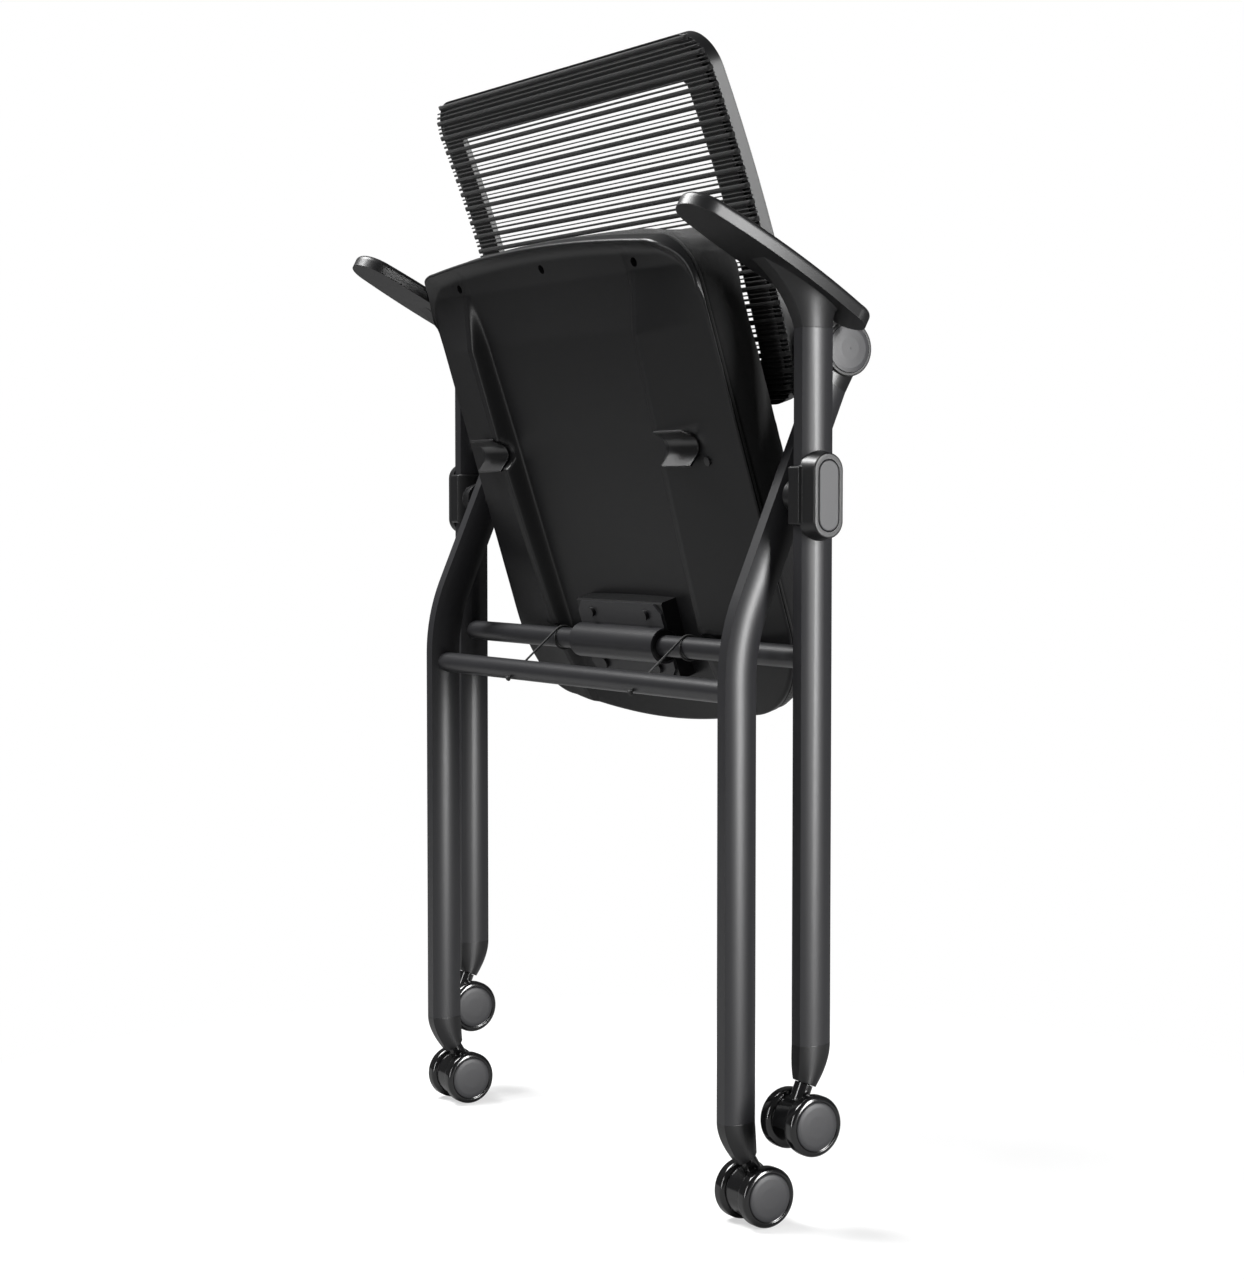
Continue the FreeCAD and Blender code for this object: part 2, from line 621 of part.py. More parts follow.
# Armrests: a tilted pad on a neck that grows out of the tube's own outline
def armrest(name, side):
    body = body_at("armrest_" + name, signed(side, "Dims.rear_leg_x"))
    top = D["rear_leg_above"]
    rise, tilt = top + D["arm_rise"], -D["arm_tilt"]
    half, front = D["arm_width"] / 2, -D["arm_length"] / 2 - D["arm_ahead"]
    rear = front + D["arm_length"]
    wide, narrow = half * 0.82, half * 0.6
    corner_front, corner_rear = front + half * 0.75, rear - half * 0.6
    plan = [Part.Arc(Vector(-wide, corner_front, 0), Vector(0, front, 0), Vector(wide, corner_front, 0)),
            Part.Arc(Vector(wide, corner_front, 0), Vector(half * 0.95, front * 0.35, 0),
                     Vector(narrow, corner_rear, 0)),
            Part.Arc(Vector(narrow, corner_rear, 0), Vector(0, rear, 0), Vector(-narrow, corner_rear, 0)),
            Part.Arc(Vector(-narrow, corner_rear, 0), Vector(-half * 0.95, front * 0.35, 0),
                     Vector(-wide, corner_front, 0))]
    outline = sketch(body, "PadOutline", plan, base=(0, 0, rise), tilt=tilt)
    pad = feature(body, "Pad", "ArmPad", outline, "Dims.arm_thick", back=True)
    normal = Vector(0, sin(D["arm_tilt"]), cos(D["arm_tilt"]))
    level = lambda p: (p - Vector(0, 0, rise)).dot(normal)
    uprights = fillet(body, "PadCorners", pad,
                      lambda p, e: abs(level(p) + D["arm_thick"] / 2) < 0.01, "Dims.arm_width * 0.2")
    fillet(body, "PadTop", uprights, lambda p, e: abs(level(p)) < 0.01, "Dims.arm_thick * 0.38")
    joint = sketch(body, "NeckJoint", tube_oval(), base=(0, 0, top))
    throat = sketch(body, "NeckThroat", oval(D["tube_depth"] * 1.3, D["tube_width"] * 1.25,
                                             D["tube_flat"] * 1.2, 0, -4.0), base=(0, 0, top + 13),
                    tilt=tilt * 0.5)
    under = sketch(body, "NeckHead", oval(D["arm_length"] * 0.62, D["arm_width"] * 0.68,
                                          D["tube_flat"] * 1.4, 0, -D["arm_ahead"] * 0.75),
                   base=(0, 0, rise - D["arm_thick"] + 1.0), tilt=tilt)
    loft(body, "AdditiveLoft", "Neck", [joint, throat, under])
    inner = sketch(body, "SpigotSection", tube_oval(-D["tube_wall"] - 0.2), base=(0, 0, top))
    feature(body, "Pad", "Spigot", inner, "Dims.arm_spigot", back=True)


# Backrest hubs: short round drums across the tops of the front legs
def back_hub(name, side):
    body = body_at("back_hub_" + name, signed(side, "Dims.front_leg_x"), "Dims.hub_y", "Dims.hub_z",
                   "Dims.front_leg_lean", -1)
    disc = sketch(body, "DrumCircle", circle(0, 0, D["hub_dia"]), "YZ_Plane")
    bind(disc, "Radius", 0, "Dims.hub_dia / 2")
    drum = feature(body, "Pad", "Drum", disc, "Dims.hub_width", both=True)
    fillet(body, "DrumEdges", drum, lambda p, e: abs(abs(p.x) - D["hub_width"] / 2) < 0.01, "1.2")
    joint = sketch(body, "NeckJoint", tube_oval(), base=(0, 0, -D["hub_neck"]))
    head = sketch(body, "NeckHead", oval(D["tube_depth"] * 1.15, D["hub_width"] * 0.9, D["tube_flat"]),
                  base=(0, 0, -D["hub_neck"] * 0.4))
    loft(body, "AdditiveLoft", "Neck", [joint, head], ruled=True)
    inner = sketch(body, "SpigotSection", tube_oval(-D["tube_wall"] - 0.2), base=(0, 0, -D["hub_neck"]))
    feature(body, "Pad", "Spigot", inner, "Dims.hub_neck * 0.75", back=True)
    outer = side * D["hub_width"] / 2
    round_hole(body, "CapRecess", "YZ_Plane", 0, 0, "Dims.hub_cap_dia", "Dims.hub_cap_depth",
               base=(0, 0, outer), both=False, back=side < 0)
    round_hole(body, "BushBore", "YZ_Plane", 0, 0, "Dims.back_bush_dia", "Dims.back_bush_length",
               base=(0, 0, -outer), both=False, back=side > 0)

    cap = body_at("hub_cap_" + name, signed(side, "Dims.front_leg_x"), "Dims.hub_y", "Dims.hub_z")
    face = D["hub_width"] / 2
    r = D["hub_cap_dia"] / 2 - 0.3
    seat = face - D["hub_cap_depth"]
    profile = polygon([(side * x, y) for x, y in
                       ((seat, 0), (seat, r), (face + 0.2, r), (face + 0.9, r * 0.82),
                        (face + 1.3, r * 0.45), (face + 1.4, 0))])
    revolve(cap, "Dome", sketch(cap, "Profile", profile, "XZ_Plane"))

    bush = body_at("back_bush_" + name, signed(side, "Dims.front_leg_x"), "Dims.hub_y", "Dims.hub_z")
    ring = sketch(bush, "Ring", [circle(0, 0, D["back_bush_dia"] - 0.1),
                                 circle(0, 0, D["back_pin_dia"] + 0.1)], "YZ_Plane", base=(0, 0, -outer))
    bind(ring, "Radius", 0, "Dims.back_bush_dia / 2 - 0.05")
    bind(ring, "Radius", 1, "Dims.back_pin_dia / 2 + 0.05")
    feature(bush, "Pad", "Sleeve", ring, "Dims.back_bush_length - Dims.soft_gap", back=side < 0)


def revolve(body, name, profile):
    item = body.newObject("PartDesign::Revolution", name)
    item.Profile = profile
    item.ReferenceAxis = (profile, ["H_Axis"])
    item.Angle = 360.0
    body.Tip = item
    return item


for name, side in SIDES:
    armrest(name, side)
    back_hub(name, side)

# Backrest: a moulded rim bowed back in the middle, with mesh stretched over its front
back_middle = (D["back_top"] - D["back_bottom"]) / 2
back_half_height = (D["back_top"] + D["back_bottom"]) / 2
back_half = D["back_width"] / 2
back_vertex = -D["back_stand"] + D["back_thick"] / 2


def bowed(shift, thick, y_reach):
    """A slab section in YZ, bowed about a centre in front of the chair."""
    def at(radius, height):
        centre = back_vertex - D["back_radius"]
        return Vector(centre + math.sqrt(radius ** 2 - height ** 2), back_middle + height, 0)
    near = D["back_radius"] + shift
    far = near + thick
    reach = y_reach
    return [Part.Arc(at(near, -reach), at(near, 0), at(near, reach)),
            Part.LineSegment(at(near, reach), at(far, reach)),
            Part.Arc(at(far, reach), at(far, 0), at(far, -reach)),
            Part.LineSegment(at(far, -reach), at(near, -reach))]


def frame_of(body, shift, thick, inset):
    """A bowed slab as wide as the back, trimmed to its round-cornered front view."""
    section = sketch(body, "BowedSection", bowed(shift, thick, back_half_height - inset), "YZ_Plane")
    feature(body, "Pad", "Slab", section, "Dims.back_width - %s" % (2 * inset), both=True)
    beyond = 40.0
    outline = rounded(back_half - inset, -D["back_bottom"] + inset, D["back_top"] - inset,
                      D["back_corner"] - inset)
    outside = slot_loop(-back_half - beyond, back_half + beyond,
                        -D["back_bottom"] - beyond, D["back_top"] + beyond)
    trim = sketch(body, "FrontView", [outside, outline], "XZ_Plane")
    feature(body, "Pocket", "Trim", trim, both=True)


back = body_at("back_frame", "0", "Dims.hub_y", "Dims.hub_z", "Dims.back_lean")
frame_of(back, D["mesh_thick"] + D["mesh_gap"], D["back_thick"], 0.0)
window = sketch(back, "WindowOutline", rounded(back_half - D["back_rail"],
                                               -D["back_bottom"] + D["back_rail"],
                                               D["back_top"] - D["back_rail"],
                                               D["back_corner"] * 0.5), "XZ_Plane")
feature(back, "Pocket", "Window", window, both=True)
ear_out = D["front_leg_x"] - D["hub_width"] / 2 - D["hub_gap"]
boss_r = D["back_boss_dia"] / 2
diagonal = boss_r * math.sqrt(0.5)
rail_y = back_vertex + D["mesh_thick"] + D["mesh_gap"]
for name, side in SIDES:
    outer_face = side * D["back_width"] / 2
    ear = [Part.LineSegment(Vector(rail_y - 4.5, -D["back_bottom"] + 6, 0),
                            Vector(diagonal, -diagonal, 0)),
           Part.Arc(Vector(diagonal, -diagonal, 0), Vector(boss_r, 0, 0), Vector(diagonal, diagonal, 0)),
           Part.LineSegment(Vector(diagonal, diagonal, 0), Vector(rail_y + D["back_thick"] - 3, 84, 0)),
           Part.LineSegment(Vector(rail_y + D["back_thick"] - 3, 84, 0), Vector(rail_y + 1.5, 84, 0)),
           Part.LineSegment(Vector(rail_y + 1.5, 84, 0), Vector(rail_y - 4.5, -D["back_bottom"] + 6, 0))]
    plate = sketch(back, "EarOutline_" + name, ear, "YZ_Plane", base=(0, 0, outer_face))
    feature(back, "Pad", "Ear_" + name, plate, "Dims.back_ear", back=side > 0)
    boss = sketch(back, "BossCircle_" + name, circle(0, 0, 2 * boss_r), "YZ_Plane", base=(0, 0, outer_face))
    bind(boss, "Radius", 0, "Dims.back_boss_dia / 2")
    feature(back, "Pad", "Boss_" + name, boss,
            "Dims.front_leg_x - Dims.hub_width / 2 - Dims.hub_gap - Dims.back_width / 2", back=side < 0)
    round_hole(back, "PinBore_" + name, "YZ_Plane", 0, 0, "Dims.back_pin_dia + 0.1",
               "Dims.back_pin_bite + 0.5", base=(0, 0, side * ear_out), both=False, back=side < 0)

mesh = body_at("back_mesh", "0", "Dims.hub_y", "Dims.hub_z", "Dims.back_lean")
frame_of(mesh, 0.0, D["mesh_thick"], 3.0)
slots = []
row = -D["back_bottom"] + D["mesh_border"]
while row + D["mesh_slot"] < D["back_top"] - D["mesh_border"]:
    slots.append(slot_loop(-back_half + D["mesh_border"], back_half - D["mesh_border"],
                           row, row + D["mesh_slot"]))
    row += D["mesh_pitch"]
feature(mesh, "Pocket", "Slots", sketch(mesh, "SlotRows", slots, "XZ_Plane"), both=True)

pins = []
for name, side in SIDES:
    inner_end = "Dims.front_leg_x - Dims.hub_width / 2 - Dims.hub_gap - Dims.back_pin_bite"
    length = "Dims.back_pin_bite + Dims.hub_gap + Dims.back_bush_length - 1"
    start = inner_end if side > 0 else "-(%s + %s)" % (inner_end, length)
    pins.append(cylinder("Pin_" + name, "Dims.back_pin_dia", length, start, "Dims.hub_y", "Dims.hub_z"))
group("back_pins", pins)


# Seat: everything below stands in the seat's own frame, X across, Y towards the sitter, Z to the front
def seat_body(label):
    return body_at(label, "0", "Dims.tube_plane_y", "Dims.seat_hinge_z", "Dims.seat_lean")


def seat_outline(inset=0.0):
    """The seat's plan in XZ: straight sides, an arched front, large round rear corners."""
    half = D["seat_half"] - inset
    front_r = D["seat_front_corner"] - inset
    rear_r = D["seat_rear_corner"] - inset
    front_side = D["seat_front"] - D["seat_arch"] - inset
    rear_side = -D["seat_rear"] + D["seat_arch"] * 1.5 + inset
    near = 1 - math.sqrt(0.5)
    a = Vector(half, rear_side + rear_r, 0)
    b = Vector(half, front_side - front_r, 0)
    c = Vector(half - front_r, front_side, 0)
    d = Vector(-half + front_r, front_side, 0)
    e = Vector(-half, front_side - front_r, 0)
    f = Vector(-half, rear_side + rear_r, 0)
    g = Vector(-half + rear_r, rear_side, 0)
    h = Vector(half - rear_r, rear_side, 0)
    return [Part.LineSegment(a, b),
            Part.Arc(b, Vector(half - front_r * near, front_side - front_r * near, 0), c),
            Part.Arc(c, Vector(0, D["seat_front"] - inset, 0), d),
            Part.Arc(d, Vector(-half + front_r * near, front_side - front_r * near, 0), e),
            Part.LineSegment(e, f),
            Part.Arc(f, Vector(-half + rear_r * near, rear_side + rear_r * near, 0), g),
            Part.Arc(g, Vector(0, -D["seat_rear"] + inset, 0), h),
            Part.Arc(h, Vector(half - rear_r * near, rear_side + rear_r * near, 0), a)]


# The pan's underside along its length: rim, ridge crest, ridge place, foot of the ridge, middle
PAN_STATIONS = (
    ("rear", -84.0, 21.0, 20.0, 122.0, 20.3, 20.5),
    ("tail", -42.0, 23.0, 12.0, 125.0, 19.0, 24.5),
    ("hinge", 0.0, 23.0, 4.0, 128.0, 17.0, 29.0),
    ("waist", 90.0, 23.0, 3.0, 135.0, 18.0, 30.0),
    ("saddle", 183.0, 23.0, 3.0, 142.0, 22.0, 31.0),
    ("shoulder", 312.0, 23.0, 3.0, 148.0, 28.0, 37.0),
    ("slope", 334.0, 22.0, 33.0, 150.0, 35.0, 38.0),
    ("front", 368.0, 21.0, 37.0, 150.0, 37.5, 38.5),
)


def pan_section(rim, crest, ridge_x, foot, middle, wall=0.0):
    """One cross section of the pan, as a solid up to its top or, with a wall, the space inside."""
    half = D["seat_half"] + 2.0 if wall == 0.0 else D["seat_half"] - wall
    top = D["pan_top"] + (2.0 if wall else 0.0)
    right = [(half, top), (half, rim + wall * 1.1), (ridge_x + 3.0 - wall * 0.4, crest + wall),
             (ridge_x - 3.0 + wall * 1.05, crest + wall), (ridge_x - 12.0 + wall * 0.9, foot + wall)]
    points = [Vector(x, y, 0) for x, y in right]
    mirror = [Vector(-p.x, p.y, 0) for p in reversed(points)]
    lines = [Part.LineSegment(p, q) for p, q in zip(points, points[1:])]
    across = Part.Arc(points[-1], Vector(0, middle + wall, 0), mirror[0])
    back = [Part.LineSegment(p, q) for p, q in zip(mirror, mirror[1:])]
    return lines + [across] + back + [Part.LineSegment(mirror[-1], points[0])]


def pan_loft(body, wall=0.0):
    sections = [sketch(body, "Station_" + name, pan_section(rim, crest, ridge_x, foot, middle, wall),
                       base=(0, 0, u))
                for name, u, rim, crest, ridge_x, foot, middle in PAN_STATIONS]
    loft(body, "AdditiveLoft", "Underside", sections, ruled=True)


def trim_plan(body, inset):
    around = slot_loop(-D["seat_half"] - 60, D["seat_half"] + 60, -D["seat_rear"] - 60, D["seat_front"] + 60)
    item = sketch(body, "Plan", [around, seat_outline(inset)], "XZ_Plane")
    feature(body, "Pocket", "TrimPlan", item, both=True)


# Where screws hold the board from below: across the front, the sides and the front corners
BOARD_SCREWS = ((-154.0, 335.0, 38.0), (0.0, 341.0, 38.2), (154.0, 335.0, 38.0),
                (-191.0, 163.0, 13.7), (191.0, 163.0, 13.7))
hinge_half = D["hinge_width"] / 2
hinge_bore = D["cross_dia"] / 2 + D["hinge_gap"] + D["hinge_bush_wall"] + 0.05
flange_back = D["ridge_height"] + D["clamp_sheet"]
CLAMP_SCREWS = tuple((side * D["clamp_screw_span"] / 2, height)
                     for side in (-1, 1) for height in (27.0, -23.0))

outer = seat_body("PanOutside")
pan_loft(outer)
lip_low = -D["lip_depth"]
lip_end, lip_front, lip_root = 208.0, 352.0, 329.0
lip = sketch(outer, "LipPlan",
             [Part.Arc(Vector(-lip_end, lip_front, 0), Vector(0, D["seat_front"] + 3, 0),
                       Vector(lip_end, lip_front, 0)),
              Part.LineSegment(Vector(lip_end, lip_front, 0), Vector(lip_end, lip_root, 0)),
              Part.Arc(Vector(lip_end, lip_root, 0), Vector(0, D["seat_front"] - D["lip_width"], 0),
                       Vector(-lip_end, lip_root, 0)),
              Part.LineSegment(Vector(-lip_end, lip_root, 0), Vector(-lip_end, lip_front, 0))],
             "XZ_Plane", base=(0, 0, lip_low))
feature(outer, "Pad", "FrontLip", lip, "Dims.pan_top - Dims.lip_depth", back=True)
slopes = [polygon([(side * 158, D["lip_depth"] - 0.1), (side * 232, D["rim_top"] - 0.5),
                   (side * 232, D["lip_depth"] - 4), (side * 158, D["lip_depth"] - 4)])
          for name, side in SIDES]
lip_ends = sketch(outer, "LipEndSlopes", slopes, base=(0, 0, lip_root - 4))
feature(outer, "Pocket", "LipEnds", lip_ends, "60", back=True)
block = sketch(outer, "HingeBlockPlan", slot_loop(-hinge_half - 2, hinge_half + 2,
                                                  -D["clamp_bottom"] - 1, D["clamp_top"] + 1),
               "XZ_Plane", base=(0, 0, -flange_back - 0.05))
feature(outer, "Pad", "HingeBlock", block, "28", back=True)
trim_plan(outer, 0.0)
beyond_step = sketch(outer, "StepPlan", [slot_loop(-300, 300, -150, 430), seat_outline(D["pan_step"])],
                     "XZ_Plane", base=(0, 0, -D["rim_top"]))
feature(outer, "Pocket", "RimStep", beyond_step)

inside = seat_body("PanInside")
pan_loft(inside, D["pan_wall"])
hollow = sketch(inside, "HingeHollowPlan", slot_loop(-hinge_half + 3, hinge_half - 3, 18, D["clamp_top"] - 4),
                "XZ_Plane", base=(0, 0, -flange_back - 4))
feature(inside, "Pad", "HingeHollow", hollow, "30", back=True)
trim_plan(inside, D["pan_step"] + D["pan_wall"])
islands = [circle(x, u, 12.0) for x, u, w in BOARD_SCREWS]
islands += [circle(x, u, 11.0) for x, u in CLAMP_SCREWS]
feature(inside, "Pocket", "Bosses", sketch(inside, "BossPlans", islands, "XZ_Plane"), both=True)
saddle_box = [slot_loop(min(side * 126, side * 206), max(side * 126, side * 206),
                        D["saddle_reach"] - 20, D["saddle_reach"] + 20) for side in (1, -1)]
feature(inside, "Pocket", "SaddleBlocks",
        sketch(inside, "SaddleBlockPlans", saddle_box, "XZ_Plane", base=(0, 0, -19)), "40")
notch_box = [slot_loop(min(side * 108, side * 178), max(side * 108, side * 178), -15, 15) for side in (1, -1)]
feature(inside, "Pocket", "NotchBlocks",
        sketch(inside, "NotchBlockPlans", notch_box, "XZ_Plane", base=(0, 0, -16)), "40")

shell = boolean("Cut", "PanShell", outer, inside)


def saddle_profile(gap, wall):
    """The groove's section in YZ: a round seat for the tube that opens in straight flanks."""
    reach, rise = D["saddle_reach"], D["saddle_rise"]
    r = D["cross_dia"] / 2 + gap
    lip_v = D["saddle_mouth"] / 2
    distance = math.hypot(lip_v, rise)
    angle = math.atan2(-rise, lip_v) + math.acos(r / distance)
    across, along = math.sin(angle), math.cos(angle)
    flank_out = Vector(across, along, 0)

    def flank(radius, extra):
        tangent = Vector(rise + radius * across, radius * along, 0)
        direction = Vector(-along, across, 0)
        return tangent, tangent + direction * extra
    length = math.sqrt(distance ** 2 - r ** 2)
    up, up_lip = flank(r, length)
    out, out_lip = flank(r + wall, length)

    def at(p, sign=1):
        return Vector(p.x, reach + sign * p.y, 0)
    bottom, bottom_out = Vector(rise + r, reach, 0), Vector(rise + r + wall, reach, 0)
    return [Part.LineSegment(at(up_lip), at(up)), Part.Arc(at(up), bottom, at(up, -1)),
            Part.LineSegment(at(up, -1), at(up_lip, -1)), Part.LineSegment(at(up_lip, -1), at(out_lip, -1)),
            Part.LineSegment(at(out_lip, -1), at(out, -1)), Part.Arc(at(out, -1), bottom_out, at(out)),
            Part.LineSegment(at(out), at(out_lip)), Part.LineSegment(at(out_lip), at(up_lip))]


tools = seat_body("PanCuts")
groove = saddle_profile(D["saddle_gap"], D["saddle_wall"] + 0.1)
solid_groove = groove[5:7] + [groove[4]]
lip_a, lip_b = groove[3].EndPoint, groove[6].EndPoint
front_a, front_b = Vector(-12, lip_a.y, 0), Vector(-12, lip_b.y, 0)
groove_loop = [groove[6], Part.LineSegment(lip_b, front_b), Part.LineSegment(front_b, front_a),
               Part.LineSegment(front_a, lip_a), groove[4], groove[5]]
groove_plan = sketch(tools, "GrooveSection", groove_loop, "YZ_Plane")
feature(tools, "Pad", "Grooves", groove_plan, "2 * Dims.seat_half + 10", both=True)
trough = sketch(tools, "TroughCircle", circle(0, 0, 2 * hinge_bore), "YZ_Plane")
feature(tools, "Pad", "Trough", trough, "Dims.hinge_width + 8", both=True)
notch = sketch(tools, "NotchCircle", circle(0, 0, D["cross_dia"] + 4), "YZ_Plane")
feature(tools, "Pad", "Notches", notch, "2 * Dims.seat_half + 10", both=True)
for number, (x, u, w) in enumerate(BOARD_SCREWS, 1):
    shank_hole = sketch(tools, "BoardScrewHole_%d" % number, circle(x, u, D["seat_screw_dia"] + 0.3),
                        "XZ_Plane", base=(0, 0, -w + 8))
    feature(tools, "Pad", "BoardScrewDrill_%d" % number, shank_hole, "70", back=True)
    head_hole = sketch(tools, "BoardScrewSeat_%d" % number, circle(x, u, D["seat_screw_head"] + 0.8),
                       "XZ_Plane", base=(0, 0, -w + 8))
    feature(tools, "Pad", "BoardScrewRecess_%d" % number, head_hole, "10", back=True)
clamp_holes = sketch(tools, "ClampScrewHoles", [circle(x, u, D["clamp_screw_dia"] + 0.1)
                                                for x, u in CLAMP_SCREWS], "XZ_Plane",
                     base=(0, 0, -flange_back + 1))
feature(tools, "Pad", "ClampScrewDrill", clamp_holes, "20", back=True)
boolean("Cut", "seat_pan", shell, tools)

# Screws that hold the board: a low head under the pan, a shank up into the board
screws = seat_body("seat_screws")
for number, (x, u, w) in enumerate(BOARD_SCREWS, 1):
    head_back = w + 2.0
    head = sketch(screws, "Head_%d" % number, circle(x, u, D["seat_screw_head"]), "XZ_Plane",
                  base=(0, 0, -head_back))
    feature(screws, "Pad", "ScrewHead_%d" % number, head, "2.6")
    shank = sketch(screws, "Shank_%d" % number, circle(x, u, D["seat_screw_dia"]), "XZ_Plane",
                   base=(0, 0, -head_back))
    feature(screws, "Pad", "ScrewShank_%d" % number, shank,
            "Dims.pan_top + Dims.board_thick - 1 - %s" % head_back, back=True)

# Board: a flat inner panel under the foam, with blind holes for the screws
board = seat_body("seat_board")
board_low = D["pan_top"] + 0.05
board_plan = sketch(board, "Plan", seat_outline(D["board_inset"]), "XZ_Plane", base=(0, 0, -board_low))
feature(board, "Pad", "Panel", board_plan, "Dims.board_thick", back=True)
blind = sketch(board, "ScrewCircles", [circle(x, u, D["seat_screw_dia"] + 0.1) for x, u, w in BOARD_SCREWS],
               "XZ_Plane", base=(0, 0, -board_low))
feature(board, "Pocket", "ScrewHoles", blind, "Dims.board_thick - 0.5")

# Cushion: drawn in at its lower edge, upright sides, a crowned top; it sits over the board
cushion = seat_body("seat_cushion")
cushion_low = D["rim_top"] + 0.6
CUSHION_RINGS = ((0.0, 3.0), (0.08, 0.0), (0.36, -1.0), (0.62, -0.5), (0.82, 5.0), (0.94, 14.0), (1.0, 31.0))
rings = [sketch(cushion, "Ring_%d" % number, seat_outline(inset), "XZ_Plane",
                base=(0, 0, -cushion_low - height * D["cushion_thick"]))
         for number, (height, inset) in enumerate(CUSHION_RINGS, 1)]
loft(cushion, "AdditiveLoft", "Foam", rings, ruled=True)
hollow_plan = sketch(cushion, "PanPlan", seat_outline(D["pan_step"] - D["soft_gap"]), "XZ_Plane",
                     base=(0, 0, -cushion_low + 1))
feature(cushion, "Pocket", "PanHollow", hollow_plan,
        "Dims.pan_top - Dims.rim_top + Dims.board_thick + Dims.soft_gap + 0.5")

# Hinge: a polymer bush on the rear cross tube, strapped to the pan by a pressed steel clamp
hinge_ring = seat_body("hinge_bush")
ring = sketch(hinge_ring, "Ring", [circle(0, 0, 2 * hinge_bore - 0.1), circle(0, 0, D["cross_dia"])],
              "YZ_Plane")
bind(ring, "Radius", 1, "Dims.cross_dia / 2 + Dims.hinge_gap")
feature(hinge_ring, "Pad", "Sleeve", ring, "Dims.hinge_width - 2", both=True)

clamp = seat_body("hinge_clamp")
flange_front = D["ridge_height"]
strap_in, strap_out = hinge_bore, hinge_bore + D["clamp_sheet"]
inner_reach = math.sqrt(strap_in ** 2 - flange_back ** 2)
outer_reach = math.sqrt(strap_out ** 2 - flange_front ** 2)
top, low = D["clamp_top"], -D["clamp_bottom"]
strap = [Part.LineSegment(Vector(flange_back, top, 0), Vector(flange_back, inner_reach, 0)),
         Part.Arc(Vector(flange_back, inner_reach, 0), Vector(-strap_in, 0, 0),
                  Vector(flange_back, -inner_reach, 0)),
         Part.LineSegment(Vector(flange_back, -inner_reach, 0), Vector(flange_back, low, 0)),
         Part.LineSegment(Vector(flange_back, low, 0), Vector(flange_front, low, 0)),
         Part.LineSegment(Vector(flange_front, low, 0), Vector(flange_front, -outer_reach, 0)),
         Part.Arc(Vector(flange_front, -outer_reach, 0), Vector(-strap_out, 0, 0),
                  Vector(flange_front, outer_reach, 0)),
         Part.LineSegment(Vector(flange_front, outer_reach, 0), Vector(flange_front, top, 0)),
         Part.LineSegment(Vector(flange_front, top, 0), Vector(flange_back, top, 0))]
strap_sketch = sketch(clamp, "StrapSection", strap, "YZ_Plane")
feature(clamp, "Pad", "Strap", strap_sketch, "Dims.hinge_width", both=True)
corner = 9.0
chamfers = [polygon([(sx * hinge_half, end), (sx * (hinge_half - corner), end),
                     (sx * hinge_half, end - math.copysign(corner, end))])
            for sx in (-1, 1) for end in (top, low)]
feature(clamp, "Pocket", "CornerCuts", sketch(clamp, "CornerTriangles", chamfers, "XZ_Plane"), both=True)
openings = []
for x, u in CLAMP_SCREWS:
    if u > 0:
        openings.append([Part.LineSegment(Vector(x - 3, u - 2.6, 0), Vector(x + 3, u - 2.6, 0)),
                         Part.Arc(Vector(x + 3, u - 2.6, 0), Vector(x + 5.6, u, 0), Vector(x + 3, u + 2.6, 0)),
                         Part.LineSegment(Vector(x + 3, u + 2.6, 0), Vector(x - 3, u + 2.6, 0)),
                         Part.Arc(Vector(x - 3, u + 2.6, 0), Vector(x - 5.6, u, 0), Vector(x - 3, u - 2.6, 0))])
    else:
        openings.append(circle(x, u, D["clamp_screw_dia"] + 0.2))
feature(clamp, "Pocket", "ScrewOpenings", sketch(clamp, "ScrewOutlines", openings, "XZ_Plane"), both=True)

clamp_screws = seat_body("hinge_screws")
heads = sketch(clamp_screws, "Heads", [circle(x, u, D["clamp_screw_dia"] * 1.8) for x, u in CLAMP_SCREWS],
               "XZ_Plane", base=(0, 0, -flange_front))
feature(clamp_screws, "Pad", "PanHeads", heads, "Dims.clamp_screw_dia * 0.6")
shanks = sketch(clamp_screws, "Shanks", [circle(x, u, D["clamp_screw_dia"]) for x, u in CLAMP_SCREWS],
                "XZ_Plane", base=(0, 0, -flange_front))
feature(clamp_screws, "Pad", "Shank", shanks, "20", back=True)

# Saddles: polymer liners in the grooves that land on the front cross tube
for name, side in SIDES:
    liner = seat_body("saddle_" + name)
    start = D["ridge_x"] - 1.0
    profile = sketch(liner, "GrooveLining", saddle_profile(D["saddle_gap"], D["saddle_wall"]), "YZ_Plane",
                     base=(0, 0, side * start))
    feature(liner, "Pad", "Lining", profile, "Dims.saddle_length", back=side < 0)


